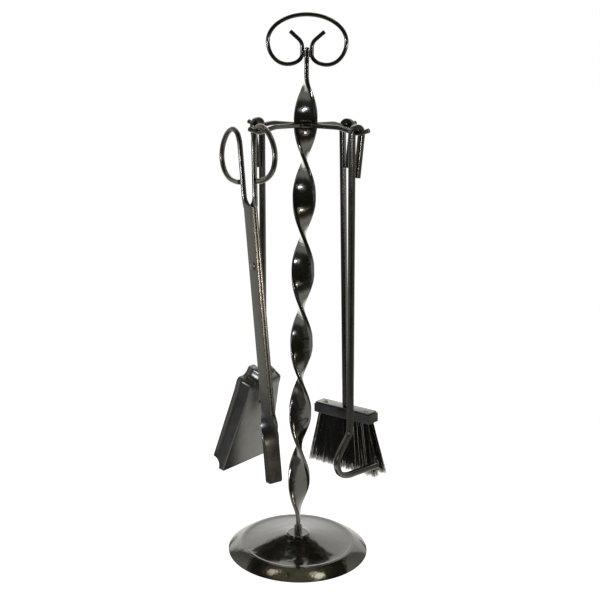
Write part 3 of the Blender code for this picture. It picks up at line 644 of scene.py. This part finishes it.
def lumpy(bm, amount, scale, seed):
    """Moves each point along its normal by noise, as cooled weld metal does."""
    bm.normal_update()
    offset = Vector((seed * 3.1, seed * 1.7, seed * 2.3))
    for vert in bm.verts:
        vert.co += vert.normal * amount * noise.noise(vert.co * scale + offset)


def add_bead(bm, place, size):
    matrix = Matrix.Translation(place) @ Matrix.Diagonal((*size, 1.0))
    bmesh.ops.create_icosphere(bm, subdivisions=3, radius=1.0, matrix=matrix)


def add_bead_row(bm, pitch, size, taper):
    """Five beads along Y, smaller towards both ends."""
    for step in range(-2, 3):
        add_bead(bm, (0.0, step * pitch, 0.0), size * (1.0 - taper * abs(step)))


def make_foot_weld():
    """The fillet of weld round the stem's foot, laid as a row of overlapping beads."""
    bm = bmesh.new()
    half_x, half_y = BAR_THICKNESS / 2 + 0.9 * MM, BAR_WIDTH / 2 + 0.9 * MM
    beads = [(side * half_x, y * MM) for side in (-1, 1) for y in range(-12, 13, 2)]
    beads += [(x * MM, side * half_y) for side in (-1, 1) for x in (-3.0, -1.0, 1.0, 3.0)]
    for x, y in beads:
        size = rng.uniform(1.05, 1.45) * MM
        height = STEM_BOTTOM + rng.uniform(0.7, 1.3) * MM
        add_bead(bm, (x, y, height), (size, size * 1.2, size * 1.1))
    lumpy(bm, 0.35 * MM, 800.0, 1)
    obj = closed_piece("foot_weld_beads", bm, STEM_PLACE, 80)
    finish_piece(obj, "weld", "stand", "black_lacquer", "stem_foot_weld")


def make_top_weld():
    """Weld metal on the stem's top, run in between the ring's two sides."""
    bm = bmesh.new()
    add_bead_row(bm, 2.1 * MM, Vector((2.45, 1.7, 1.5)) * MM, 0.06)
    lumpy(bm, 0.3 * MM, 700.0, 4)
    lift = Vector((0.0, 0.0, STEM_TOP + TOP_WELD_RISE))
    obj = closed_piece("top_weld_bead", bm, Matrix.Translation(STEM_AXIS + lift), 80)
    finish_piece(obj, "weld", "stand", "black_lacquer", "handle_weld")


def make_ring_tacks():
    """Small beads between the ring's two sides and the stem's two faces."""
    bm = bmesh.new()
    for side in (-1, 1):
        for face in (-1, 1):
            for height in TACK_HEIGHTS:
                add_bead(bm, (side * 3.0 * MM, face * 1.9 * MM, PINCH_HEIGHT + height), TACK_SIZE)
    lumpy(bm, 0.3 * MM, 700.0, 5)
    obj = closed_piece("ring_weld_tacks", bm, STEM_PLACE, 80)
    finish_piece(obj, "weld", "stand", "black_lacquer")


def handle_half():
    """Half of the ring's path: from its top round the lobe, past the stem and out in a curl."""
    reach = BAR_THICKNESS / 2 + HANDLE_ROD + GAP
    rise = HANDLE_TOP - HANDLE_SHOULDER
    top = arc((0.0, HANDLE_SHOULDER), (HANDLE_HALF_WIDTH, rise), 90, 0, 36)
    drop = HANDLE_SHOULDER - LOBE_BOTTOM
    side = HANDLE_HALF_WIDTH - LOBE_CENTRE
    lobe = arc((LOBE_CENTRE, HANDLE_SHOULDER), (side, drop), 0, -90, 26)
    inner = (LOBE_CENTRE - reach, PINCH_HEIGHT - LOBE_BOTTOM)
    pinch = arc((LOBE_CENTRE, PINCH_HEIGHT), inner, -90, -180, 18)
    curl_centre = (reach + CURL_RADIUS, PINCH_HEIGHT + CURL_RISE)
    curl = arc(curl_centre, (CURL_RADIUS, CURL_RADIUS), 180, 180 - CURL_DEGREES, 18)
    slant = radians(CURL_DEGREES)
    way = Vector((sin(slant), cos(slant))) * CURL_END
    straight = [tuple(Vector(curl[-1]) + way * share) for share in (0.3, 0.6, 0.97, 1.0)]
    return top + lobe[1:] + pinch[1:] + curl + straight


def make_handle():
    half = handle_half()
    points = [(-x, z) for x, z in reversed(half)] + half[1:]
    section = round_section(HANDLE_ROD)
    obj = sweep("ring_rod", upright(points), section, Y_AXIS, STEM_PLACE)
    finish_piece(obj, "bar", "stand", "black_lacquer", "handle_ring")


def arm_height(radius):
    """An arm's height at a distance from the stem: it dips to the seat and turns up after it."""
    if radius < SEAT_RADIUS:
        share = (radius - DIP_START) / (SEAT_RADIUS - DIP_START)
    else:
        share = 1.0 - 0.75 * (radius - SEAT_RADIUS) / (ARM_LENGTH - SEAT_RADIUS)
    share = min(max(share, 0.0), 1.0)
    return ARM_HEIGHT - SEAT_DIP * (1 - cos(pi * share)) / 2


def arm_points(degrees):
    angle = radians(degrees)
    radii = [ARM_BEND, 20 * MM, 28 * MM, 35 * MM] + [(42 + 1.4 * step) * MM for step in range(31)]
    return [Vector((r * cos(angle), r * sin(angle), arm_height(r))) for r in radii]


def make_hanger(name, first, second, cad_node):
    """Two arms in one rod, bent round the stem between them."""
    middle = (first + second) / 2
    distance = ARM_BEND * sqrt(2)
    centre = [distance * f(radians(middle)) for f in (cos, sin)]
    bend = arc(centre, (ARM_BEND, ARM_BEND), middle + 225, middle + 135, 24)
    bend = [Vector((x, y, ARM_HEIGHT)) for x, y in bend]
    points = arm_points(first)[::-1] + bend[1:-1] + arm_points(second)
    obj = sweep(name, points, round_section(ARM_ROD), Z_AXIS, STEM_PLACE)
    finish_piece(obj, "bar", "stand", "black_lacquer", cad_node)


def make_hanger_weld(name, middle, seed, cad_node):
    """A short run of weld metal in the corner between the stem and the hanger's bend."""
    bm = bmesh.new()
    add_bead_row(bm, 2.0 * MM, Vector((1.5, 1.7, 1.6)) * MM, 0.07)
    lumpy(bm, 0.35 * MM, 800.0, seed)
    angle = radians(middle)
    out = BAR_THICKNESS / 2 + GAP + 2.1 * MM
    height = ARM_HEIGHT + ARM_ROD + GAP + 1.9 * MM
    offset = Vector((out * cos(angle), out * sin(angle), height))
    place = Matrix.Translation(STEM_AXIS + offset) @ Matrix.Rotation(angle, 4, "Z")
    obj = closed_piece(name, bm, place, 80)
    finish_piece(obj, "weld", "stand", "black_lacquer", cad_node)


def make_stand():
    make_dish()
    make_stem()
    make_foot_weld()
    make_handle()
    make_top_weld()
    make_ring_tacks()
    front = (ARM_ANGLES["tongs"] - 360, ARM_ANGLES["poker"])
    back = (ARM_ANGLES["brush"], ARM_ANGLES["shovel"])
    make_hanger("front_arm_rod", *front, "front_hanger")
    make_hanger("back_arm_rod", *back, "back_hanger")
    make_hanger_weld("front_weld_bead", sum(front) / 2, 2, "front_hanger_weld")
    make_hanger_weld("back_weld_bead", sum(back) / 2, 3, "back_hanger_weld")


# ---- the hung tools


def tool_matrix(tool):
    """A tool's frame: at its place on the arm, turned about Z, then leant along its own +X."""
    angle = radians(ARM_ANGLES[tool])
    radius = HANG_RADII[tool]
    seat = Vector((radius * cos(angle), radius * sin(angle), arm_height(radius)))
    yaw, lean = (radians(value) for value in HANG[tool])
    turn = Matrix.Rotation(yaw, 4, "Z") @ Matrix.Rotation(-lean, 4, "Y")
    return Matrix.Translation(STEM_AXIS + seat) @ turn


def crook_path():
    """The hanging crook, from its slanted tip over the arm and down to the shaft."""
    centre_z = CROOK_TOP - CROOK_RADIUS
    over = arc((0.0, centre_z), (CROOK_RADIUS, CROOK_RADIUS), -CROOK_SLANT, 180, 30)
    start_x, start_z = over[0]
    slant = radians(CROOK_SLANT)
    tip = (start_x - CROOK_LEG * sin(slant), start_z - CROOK_LEG * cos(slant))
    return [tip, ((tip[0] + start_x) / 2, (tip[1] + start_z) / 2)] + over


def square_section():
    """A superellipse: rolled square bar has crowned faces that run smoothly into its corners."""
    sides = 44
    section = []
    for index in range(sides):
        angle = 2 * pi * index / sides
        cosine, sine = cos(angle), sin(angle)
        reach = (abs(cosine) ** CROWN_POWER + abs(sine) ** CROWN_POWER) ** (-1 / CROWN_POWER)
        section.append((SHAFT / 2 * reach * cosine, SHAFT / 2 * reach * sine))
    return section


def make_poker():
    """One bar with a crook, a hooked foot and a chisel cut across its end."""
    foot = smooth_path([(x * MM, z * MM) for x, z in POKER_FOOT], 9)
    shaft = [(-CROOK_RADIUS, z * MM) for z in (-60, -140, -220, -300)]
    path = upright(crook_path() + shaft + foot)
    rings = sweep_rings(path, square_section(), Y_AXIS)
    lowest = path[-1].z - SHAFT / 2
    for ring in rings[-2:]:
        for point in ring:
            point.x -= (point.z - lowest) * CHISEL_SHEAR
    obj = skin("poker_forging", rings, tool_matrix("poker"))
    finish_piece(obj, "bar", "poker", "black_lacquer", "poker_bar")


def rounded_box(name, size, corner, matrix, segments):
    bm = bmesh.new()
    bmesh.ops.create_cube(bm, size=1.0, matrix=Matrix.Diagonal((*size, 1.0)))
    bmesh.ops.bevel(
        bm, geom=list(bm.edges), offset=corner, segments=segments, profile=0.5, affect="EDGES"
    )
    return closed_piece(name, bm, matrix, 30)


def make_rivet(name, low, high, size, matrix, body, cad_node):
    """A shank with a set dome on each end, flattened and ringed by the hammer's cup."""
    head, rise, shank = size
    flat_top = 0.86 * rise
    ring_height = 0.05 * rise
    ring_turn = 9  # radians of ringing from the dome's middle to its edge
    dome = arc((0.0, 0.0), (head, rise), 90, 4, 10)
    dome = [(r, min(z, flat_top) - ring_height * cos(ring_turn * r / head)) for r, z in dome]
    upper = [(r, high + z) for r, z in dome] + [(head, high), (shank, high)]
    lower = [(shank, low), (head, low)] + [(r, low - z) for r, z in reversed(dome)]
    obj = turned(name, upper + lower, 40, matrix)
    finish_piece(obj, "rivet", body, "bare_steel", cad_node)


def make_screw(name, x, tool, cad_node):
    """A domed head, with a near-black cross set into its top as painted shade for its cross recess.
    """
    profile = arc((0.0, 0.0), (SCREW_RADIUS, SCREW_RISE), 90, 0, 9) + [(0.0, 0.0)]
    place = tool @ Matrix.Translation((x, 0.0, PLATE_TOP + GAP))
    head = turned(name + "_head", profile, 32, place)
    finish_piece(head, "screw", "brush", "bare_steel", cad_node)
    # The recess is two near-black boxes on the head: painted shade, not a hollow.
    cross = bmesh.new()
    for turn in (20, 110):
        arm = Matrix.Rotation(radians(turn), 4, "Z")
        arm @= Matrix.Translation((0, 0, RECESS_HEIGHT))
        arm @= Matrix.Diagonal((*RECESS_SIZE, 1.0))
        bmesh.ops.create_cube(cross, size=1.0, matrix=arm)
    recess = closed_piece(name + "_recess", cross, place, 30)
    finish_piece(recess, "recess", "brush", "bare_steel")


def add_fibre(bm, layers, root, tip, bend, radius, tone):
    """A thin four-sided hair from root to tip, bowed sideways, that narrows to its end."""
    tone_layer, along_layer = layers
    rows = []
    axis = (tip - root).normalized()
    side = axis.cross(Vector((0.3, 1.0, 0.1))).normalized()
    other = axis.cross(side)
    for step in range(FIBRE_STEPS + 1):
        t = step / FIBRE_STEPS
        centre = root.lerp(tip, t) + bend * sin(pi * t * 0.5) * t
        width = radius * (1.0 - 0.45 * t)
        row = []
        for index in range(4):
            turn = pi / 2 * index
            vert = bm.verts.new(centre + (side * cos(turn) + other * sin(turn)) * width)
            vert[tone_layer] = tone
            vert[along_layer] = t
            row.append(vert)
        rows.append(row)
    add_tube(bm, rows)


def stray():
    """How far a bristle's end, or its middle, wanders sideways."""
    return Vector((rng.gauss(0, FIBRE_STRAY), rng.gauss(0, FIBRE_STRAY), 0))


def make_tuft(name, root, tip, painted_highlight_share, tool):
    """A bundle of bristles that spreads from its hole in the block to a ragged end."""
    bm = bmesh.new()
    layers = bm.verts.layers.float.new("fibre_tone"), bm.verts.layers.float.new("fibre_along")
    for _ in range(FIBRES_IN_TUFT):
        turn = rng.uniform(0, 2 * pi)
        out = sqrt(rng.uniform(0, 1))
        spread = Vector((cos(turn), sin(turn), 0.0)) * out
        start = root + spread * TUFT_ROOT_SPREAD
        end = tip + spread * TUFT_TIP_SPREAD + stray()
        end.z += rng.choice(FIBRE_SHORTFALLS) * rng.uniform(0.2, 1.0)
        bend = stray()
        radius = FIBRE_RADIUS * rng.uniform(0.75, 1.25)
        # This share of fibres gets the highest tone, which paints them pale all along as a
        # highlight.
        tone = 1.0 if rng.random() < painted_highlight_share else rng.uniform(0, 0.9)
        add_fibre(bm, layers, start, end, bend, radius, tone)
    obj = closed_piece(name + "_bristles", bm, tool, 60)
    finish_piece(obj, "bristle", "brush", "bristle", name)


def make_brush():
    tool = tool_matrix("brush")
    middle = -CROOK_RADIUS
    shaft = [(middle, z * MM) for z in (-60, -140, -230)] + [(middle, PLATE_TOP + GAP)]
    rod = sweep("brush_rod", upright(crook_path() + shaft), square_section(), Y_AXIS, tool)
    finish_piece(rod, "bar", "brush", "black_lacquer", "brush_shaft")
    plate_place = Matrix.Translation((middle, 0.0, PLATE_TOP - PLATE_SIZE.z / 2))
    plate = rounded_box("brush_strap", PLATE_SIZE, 0.35 * MM, tool @ plate_place, 3)
    finish_piece(plate, "pan", "brush", "black_lacquer", "brush_plate")
    block_top = PLATE_TOP - PLATE_SIZE.z - GAP
    block_place = Matrix.Translation((middle, 0.0, block_top - BLOCK_SIZE.z / 2))
    block = rounded_box("brush_wood", BLOCK_SIZE, 1.1 * MM, tool @ block_place, 4)
    finish_piece(block, "wood", "brush", "painted_wood", "brush_block")
    for side, word in ((-1, "left"), (1, "right")):
        x = middle + side * SCREW_OFFSET
        make_screw(f"strap_screw_{word}", x, tool, f"plate_screw_{word}")
    make_tufts(middle, block_top - BLOCK_SIZE.z - GAP, tool)


def make_tufts(middle, top, tool):
    """Two rows of tufts that fan out, with more bristles painted pale as highlights towards the ends
    of the block.
    """
    for row, side in (("front", -1), ("back", 1)):
        for index in range(TUFTS_IN_ROW):
            share = index / (TUFTS_IN_ROW - 1) - 0.5
            root = Vector((middle + share * TUFT_ROOT_SPAN, side * TUFT_ROOT_ROW, top))
            x = middle + TUFT_TIP_SHIFT + share * TUFT_TIP_SPAN
            tip = Vector((x, side * TUFT_TIP_ROW, top - TUFT_LENGTH))
            painted_highlight_share = 0.01 + 0.3 * abs(share) ** 2
            make_tuft(f"tuft_{row}_{index + 1:02d}", root, tip, painted_highlight_share, tool)


# ---- the shovel


def pan_matrix():
    """The pan's frame in the shovel's: Y runs down the floor from its back, Z out of it."""
    down = Vector((0.0, sin(PAN_SLOPE), -cos(PAN_SLOPE)))
    up = Vector((0.0, cos(PAN_SLOPE), sin(PAN_SLOPE)))
    origin = Vector((CROOK_RADIUS, 0.0, -PAN_CORNER_DROP))
    origin.y = -SHOVEL_BEND * down.y - (SHAFT / 2 + GAP) * up.y
    rotation = Matrix((Vector((-1.0, 0.0, 0.0)), down, up)).transposed().to_4x4()
    return Matrix.Translation(origin) @ rotation


def flank_point(along):
    """The floor's edge beside the straight wall, with the wall's height there."""
    share = (along - PAN_WALL_START) / (PAN_LENGTH - PAN_WALL_START)
    width = PAN_HALF_BACK + 0.4 * MM
    height = PAN_WALL_BACK + (PAN_WALL_FRONT - PAN_WALL_BACK) * share
    return (width + (PAN_HALF_LIP - width) * share, along, height)


def pan_outline():
    """Half of the floor's edge, from the shaft's slot to the lip, with the wall's height."""
    ogee = [
        (SLOT_HALF, -SOCKET_RISE),
        (SOCKET_HALF - 1.8 * MM, -SOCKET_RISE),
        (SOCKET_HALF - 0.4 * MM, -SOCKET_RISE + 1.2 * MM),
        (SOCKET_HALF + 0.4 * MM, -SOCKET_RISE + 4.4 * MM),
        (SOCKET_HALF + 1.9 * MM, -7.3 * MM),
        (SOCKET_HALF + 4.2 * MM, -5.0 * MM),
    ]
    corner = arc((PAN_HALF_BACK - 4.6 * MM, 0.8 * MM), (4.6 * MM, 5.6 * MM), -112, 0, 4)
    soft = smooth_path(ogee + corner + [(PAN_HALF_BACK + 0.4 * MM, PAN_WALL_START)], 4)
    points = [(x, y, PAN_WALL_BACK) for x, y in soft]
    cove_start = PAN_LENGTH - PAN_COVE
    for share in (0.12, 0.3, 0.5, 0.7, 0.85, 0.94):
        points.append(flank_point(share * cove_start + PAN_WALL_START * (1 - share)))
    for step in range(13):
        angle = radians(90 * step / 12)
        along = cove_start + PAN_COVE * (1 - cos(angle))
        height = PAN_WALL_FRONT - (PAN_WALL_FRONT - PAN_WALL_LIP) * sin(angle)
        points.append((flank_point(along)[0], along, height))
    return points


def pan_point(x, y, height, level):
    """A point of the sheet: the first levels turn round the fold, the others climb the wall."""
    angle = pi / 2 * min(level / FOLD_LEVELS, 1.0)
    climb = max(level - FOLD_LEVELS, 0) / WALL_LEVELS
    z = PAN_FOLD * (1 - cos(angle)) + (height - PAN_FOLD) * climb
    inset = PAN_FOLD * (1 - sin(angle)) if y < PAN_LENGTH - MM else 0.0
    inwards = inset * (0.9 if y > 4 * MM else 0.6)
    forwards = inset * 0.8 if y < 4 * MM else 0.0
    flare = PAN_FLARE * min(abs(x) / PAN_HALF_BACK, 1.0)
    lean = PAN_BACK_LEAN if y < 8 * MM else 0.0
    sign = 1 if x > 0 else -1
    return (x + sign * (flare * z - inwards), y + forwards - lean * z, z)


def make_pan():
    """The folded sheet: a flat floor, a rounded fold and flared walls, thickened outwards."""
    right = pan_outline()
    outline = [(-x, y, height) for x, y, height in reversed(right)] + right
    socket = len(right) - 1
    bm = bmesh.new()
    rows = []
    for level in range(FOLD_LEVELS + WALL_LEVELS + 1):
        rows.append([bm.verts.new(pan_point(*point, level)) for point in outline])
    floor = bm.faces.new(rows[0])
    for lower, upper in zip(rows, rows[1:]):
        for index in range(len(outline) - 1):
            if index != socket:
                bm.faces.new((lower[index], lower[index + 1], upper[index + 1], upper[index]))
    bmesh.ops.recalc_face_normals(bm, faces=bm.faces)
    floor.normal_update()
    if floor.normal.z > 0:
        bmesh.ops.reverse_faces(bm, faces=bm.faces)
    obj = piece_from("folded_pan", bm, tool_matrix("shovel") @ pan_matrix(), 50)
    sheet = obj.modifiers.new("sheet", "SOLIDIFY")
    sheet.thickness = PAN_SHEET
    sheet.offset = 1.0
    sheet.use_even_offset = True
    finish_piece(obj, "pan", "shovel", "black_lacquer", "shovel_pan")


def make_shovel():
    place = pan_matrix()
    bend = place @ Vector((0.0, SHOVEL_BEND, SHAFT / 2 + GAP))
    end = place @ Vector((0.0, TANG_END, SHAFT / 2 + GAP))
    path = [Vector((-x, 0.0, z)) for x, z in crook_path()]
    path += [Vector((CROOK_RADIUS, 0.0, z * MM)) for z in (-60, -140, -220)]
    above = Vector((CROOK_RADIUS, 0.0, bend.z + 6 * MM))
    below = bend + (end - bend).normalized() * 6 * MM
    path += [Vector(p) for p in bent_curve(above, bend, below, 10)] + [end]
    rings = shovel_rings(path, square_section())
    tool = tool_matrix("shovel")
    obj = skin("shovel_rod", rings, tool)
    finish_piece(obj, "bar", "shovel", "black_lacquer", "shovel_shaft")
    make_pan()
    for number, along in enumerate(RIVET_PLACES, start=1):
        here = tool @ place @ Matrix.Translation((0.0, along, 0.0))
        ends = (-PAN_SHEET - GAP, SHAFT + 2 * GAP)
        cad_node = f"pan_rivet_{number}"
        make_rivet(cad_node + "_set", *ends, PAN_RIVET, here, "shovel", cad_node)


def shovel_rings(path, section):
    """Like sweep_rings, but the shaft bends out of the crook's plane, so X guides its lower end."""
    rings = []
    last = len(path) - 1
    for index, point in enumerate(path):
        tangent = tangent_at(path, index)
        if index < CROOK_GUIDED:
            side = Y_AXIS.cross(tangent).normalized()
            normal = tangent.cross(side)
        else:
            normal = tangent.cross(X_AXIS).normalized() * -1
            side = normal.cross(tangent)
        scale = 0.9 if index in (0, last) else 1.0
        rings.append(ring_of(section, point, side, normal, scale))
    return rings


# ---- the tongs


def leg_ring(centre, across, normal, half_width, half_thickness, corner):
    """A ring of the leg's skin: round on the rod, a flat with small corners below it."""
    corner = min(corner, half_width, half_thickness)
    return ring_of(bar_section(half_width, half_thickness, corner, 5), centre, across, normal)


def loop_path(lean, steps):
    """The rod's path, from its butt at the shank round the finger loop and down the shank."""
    butt = (2 * TONGS_ROD + GAP, 15.4 * MM)
    loop = [butt] + [(x * MM, z * MM) for x, z in TONGS_LOOP]
    path = smooth_path(loop, steps) + [(0.0, z * MM) for z in (50, 44, 32, 20, 10, 0)]
    turn = Matrix.Rotation(-lean, 2)
    base = Vector((LEG_HALF_WIDTH - TONGS_ROD, SHOULDER_TOP))
    return [base + turn @ Vector(point) for point in path]


def rod_rings(path, across):
    rings = []
    for index, (x, z) in enumerate(path):
        tangent = tangent_at(path, index)
        side = Vector((-tangent.y, 0.0, tangent.x))
        centre = Vector((x, across, z))
        radius = TONGS_ROD * (0.88 if index == 0 else 1.0)
        rings.append(leg_ring(centre, side, Y_AXIS, radius, radius, radius))
    return rings


def shoulder_rings(rod_across, flat_across):
    """The forged shoulder, where the round rod spreads into the flat leg."""
    rings = []
    start = LEG_HALF_WIDTH - 2 * TONGS_ROD
    steps = 14
    for step in range(1, steps + 1):
        share = step / steps
        angle = pi / 2 * share
        inner = start - (start + LEG_HALF_WIDTH) * (1 - cos(angle))
        z = SHOULDER_TOP - SHOULDER_LENGTH * sin(angle) - 2.4 * MM * share
        thick = TONGS_ROD + (LEG_HALF_THICKNESS - TONGS_ROD) * share
        across = rod_across + (flat_across - rod_across) * share
        corner = TONGS_ROD + (LEG_CORNER - TONGS_ROD) * min(1.3 * share, 1.0)
        centre = Vector(((LEG_HALF_WIDTH + inner) / 2, across, z))
        half = (LEG_HALF_WIDTH - inner) / 2
        rings.append(leg_ring(centre, X_AXIS, Y_AXIS, half, thick, corner))
    return rings


def flat_rings(layer):
    """The flat leg, its quarter twist and the jaw, whose tip is rounded off."""
    drop = TWIST_END - TWIST_START
    heights = [30 * MM, 6 * MM, -40 * MM, -100 * MM, TWIST_START]
    heights += [TWIST_START + drop * (step + 1) / TWIST_STEPS for step in range(TWIST_STEPS)]
    heights += [JAW_END + h * MM for h in (12, 3.2, 2.4, 1.6, 0.9, 0.4, 0.1, 0.0)]
    rings = []
    for height in heights:
        share = min(max((TWIST_START - height) / -drop, 0.0), 1.0)
        turn = pi / 2 * (3 * share**2 - 2 * share**3)
        offset = Vector((-sin(turn), cos(turn), 0.0))
        width = Vector((cos(turn), sin(turn), 0.0))
        tip = max(0.0, 1.0 - (height - JAW_END) / TIP_DEPTH)
        half = LEG_HALF_WIDTH - TIP_CORNER * (1 - sqrt(max(0.0, 1 - tip**2)))
        centre = offset * layer + Vector((0.0, 0.0, height))
        rings.append(leg_ring(centre, width, offset, half, LEG_HALF_THICKNESS, LEG_CORNER))
    return rings


def pivot_matrix():
    """The rivet's frame: the back leg's loop hangs on the arm by its highest point."""
    lean = radians(HANG["tongs"][1])
    sine, cosine = sin(lean), cos(lean)
    path = loop_path(SHANK_LEAN["back"], 4)
    top = max(path, key=lambda point: point[0] * sine + point[1] * cosine)
    reach = ARM_ROD + GAP + TONGS_ROD
    place = (reach * sine - top[0], -TONGS_ROD - GAP / 2, reach * cosine - top[1])
    return tool_matrix("tongs") @ Matrix.Translation(place)


def make_leg(side, turn, body):
    rod_across = TONGS_ROD + GAP / 2
    flat_across = LEG_HALF_THICKNESS + GAP / 2
    rings = rod_rings(loop_path(SHANK_LEAN[side], 9), rod_across)
    rings += shoulder_rings(rod_across, flat_across)
    rings += flat_rings(flat_across)
    place = pivot_matrix() @ Matrix.Rotation(turn, 4, "Z")
    obj = skin(f"tongs_{side}_forging", rings, place)
    finish_piece(obj, "flat", body, "black_lacquer", f"tongs_{side}_leg")


def make_tongs():
    make_leg("back", 0.0, "tongs")
    make_leg("front", pi, "tongs_front_leg")
    reach = 2 * LEG_HALF_THICKNESS + 1.5 * GAP
    place = pivot_matrix() @ Matrix.Rotation(pi / 2, 4, "X")
    name = "tongs_rivet"
    make_rivet(name + "_set", -reach, reach, TONGS_RIVET, place, "tongs", name)


# ---- studio and camera


def make_floor():
    """A pale floor that mirrors as a white round table and the paper behind it, on a dark floor."""
    bm = bmesh.new()
    bmesh.ops.create_circle(bm, cap_ends=True, segments=96, radius=FLOOR_RADIUS)
    mesh = bpy.data.meshes.new("floor")
    bm.to_mesh(mesh)
    bm.free()
    floor = new_object("floor", mesh)
    floor.location = (0.0, 0.0, -FLOOR_DROP)
    material, tree, shader = new_material("pale_floor", Roughness=0.9)
    tone = remap(tree, noise_of(tree, 6.0), 0.3, 0.7)
    colour = blend_colour(tree, tone, (0.30, 0.30, 0.30), (0.32, 0.32, 0.32))
    feed(shader, "Base Color", colour)
    where = node(tree, "TexCoord").outputs["Object"]
    whites = []
    for centre, radius in ((TABLE_CENTRE, TABLE_RADIUS), (PAPER_CENTRE, PAPER_RADIUS)):
        links = {0: where, 1: centre}
        out = node(tree, "VectorMath", links, operation="DISTANCE").outputs["Value"]
        whites.append(remap(tree, out, radius + 0.02, radius - 0.02, 0.02, 0.9, smooth=True))
    seen = node(tree, "LightPath").outputs["Is Camera Ray"]
    glow = math_node(tree, "MAXIMUM", seen, math_node(tree, "MAXIMUM", *whites))
    feed(shader, "Emission Strength", glow)
    whiter = blend_colour(tree, seen, (1.0, 0.98, 0.9), WHITE)
    feed(shader, "Emission Color", whiter)
    mesh.materials.append(material)


def ramp(tree, value, stops):
    """A colour ramp from (position, colour) pairs."""
    made = node(tree, "ValToRGB", {"Fac": value})
    elements = made.color_ramp.elements
    while len(elements) < len(stops):
        elements.new(1.0)
    for element, (position, colour) in zip(elements, stops):
        element.position = position
        element.color = (*colour, 1.0)
    return made.outputs["Color"]


def make_world():
    """White paper behind the set and a dim room round it, seen only in reflections."""
    world = bpy.data.worlds.new("studio")
    bpy.context.scene.world = world
    world.use_nodes = True
    tree = world.node_tree
    direction = node(tree, "TexCoord").outputs["Generated"]
    split = node(tree, "SeparateXYZ", {"Vector": direction}).outputs
    azimuth = math_node(tree, "ARCTAN2", split["X"], split["Y"])
    turn = remap(tree, azimuth, -pi, pi)
    around = ramp(tree, turn, [(0.5 + degrees / 360, colour) for degrees, colour in ROOM])
    level = remap(tree, split["Z"], WALL_TOP + 0.015, WALL_TOP - 0.015)
    ceiling = remap(tree, split["Z"], CEILING_GLOW, 1.0, smooth=True)
    overhead = blend_colour(tree, ceiling, OVERHEAD_DARK, OVERHEAD_GLOW)
    room = blend_colour(tree, level, overhead, around)
    lit = blend_colour(tree, remap(tree, azimuth, -0.5, 0.5), WALL_LEFT, WALL_RIGHT)
    colour = blend_colour(tree, paper_mask(tree, azimuth, split["Z"], level), room, lit)
    seen = node(tree, "LightPath").outputs["Is Camera Ray"]
    shown = blend_colour(tree, seen, colour, WHITE)
    tree.links.new(shown, tree.nodes["Background"].inputs["Color"])


def paper_mask(tree, azimuth, height, level):
    """Where the white paper hangs: narrow at the horizon, wider above it and on the ground."""
    off_axis = node(tree, "Math", {0: azimuth}, operation="ABSOLUTE").outputs[0]
    half = remap(tree, height, 0.04, 0.2, radians(21), radians(36), smooth=True)
    inside = math_node(tree, "SUBTRACT", half, off_axis)
    hung = math_node(tree, "MULTIPLY", remap(tree, inside, -0.04, 0.04, smooth=True), level)
    wide = remap(tree, off_axis, radians(50), radians(42), smooth=True)
    below = remap(tree, height, -0.02, -0.12, smooth=True)
    return math_node(tree, "MAXIMUM", hung, math_node(tree, "MULTIPLY", wide, below))


def add_lamp(name, place, aim, size, colour, power):
    """A round soft light at one point that faces another."""
    light = bpy.data.lights.new(name, "AREA")
    light.shape = "DISK"
    light.size = size
    light.color = colour
    light.energy = power
    lamp = new_object(name, light)
    turn = (Vector(aim) - Vector(place)).to_track_quat("-Z", "Y").to_matrix().to_4x4()
    lamp.matrix_world = Matrix.Translation(place) @ turn


def around_set(azimuth, height, distance):
    """A point at a distance from the stem's axis; azimuth 0 is in front, towards -Y."""
    angle = radians(azimuth)
    out = Vector((distance * sin(angle), -distance * cos(angle), height))
    return STEM_AXIS + out


def make_lights():
    middle = STEM_AXIS + Vector((0.0, 0.0, 0.3))
    left, right = -LAMP_TURN, LAMP_TURN
    add_lamp("left_lamp", around_set(left, *LAMP_PLACE), middle, 0.16, COOL, 6.0)
    add_lamp("left_umbrella", around_set(left, *UMBRELLA_PLACE), middle, 0.6, COOL, 1.6)
    add_lamp("right_lamp", around_set(right, *LAMP_PLACE), middle, 0.14, WARM, 4.2)
    add_lamp("right_umbrella", around_set(right, *UMBRELLA_PLACE), middle, 0.6, WARM, 1.4)
    add_lamp("left_overhead", (-0.55, 0.05, 1.5), STEM_AXIS, 0.27, (1.0, 0.86, 0.74), 0.7)
    add_lamp("right_overhead", (0.5, -0.1, 1.5), STEM_AXIS, 0.3, (1.0, 0.98, 0.72), 1.2)


def make_camera():
    camera = bpy.data.cameras.new("camera")
    camera.sensor_width = 36.0
    camera.lens = CAMERA_LENS
    camera.clip_start = 0.02
    obj = new_object("camera", camera)
    place = Matrix.Translation(STEM_AXIS + CAMERA_PLACE)
    pan = Matrix.Rotation(CAMERA_PAN, 4, "Z")
    tilt = Matrix.Rotation(CAMERA_TILT, 4, "X")
    roll = Matrix.Rotation(CAMERA_ROLL, 4, "Z")
    obj.matrix_world = place @ pan @ tilt @ roll
    bpy.context.scene.camera = obj
    bpy.context.scene.view_settings.view_transform = "Standard"


def main():
    make_camera()
    make_stand()
    make_poker()
    make_brush()
    make_shovel()
    make_tongs()
    make_floor()
    make_world()
    make_lights()


main()
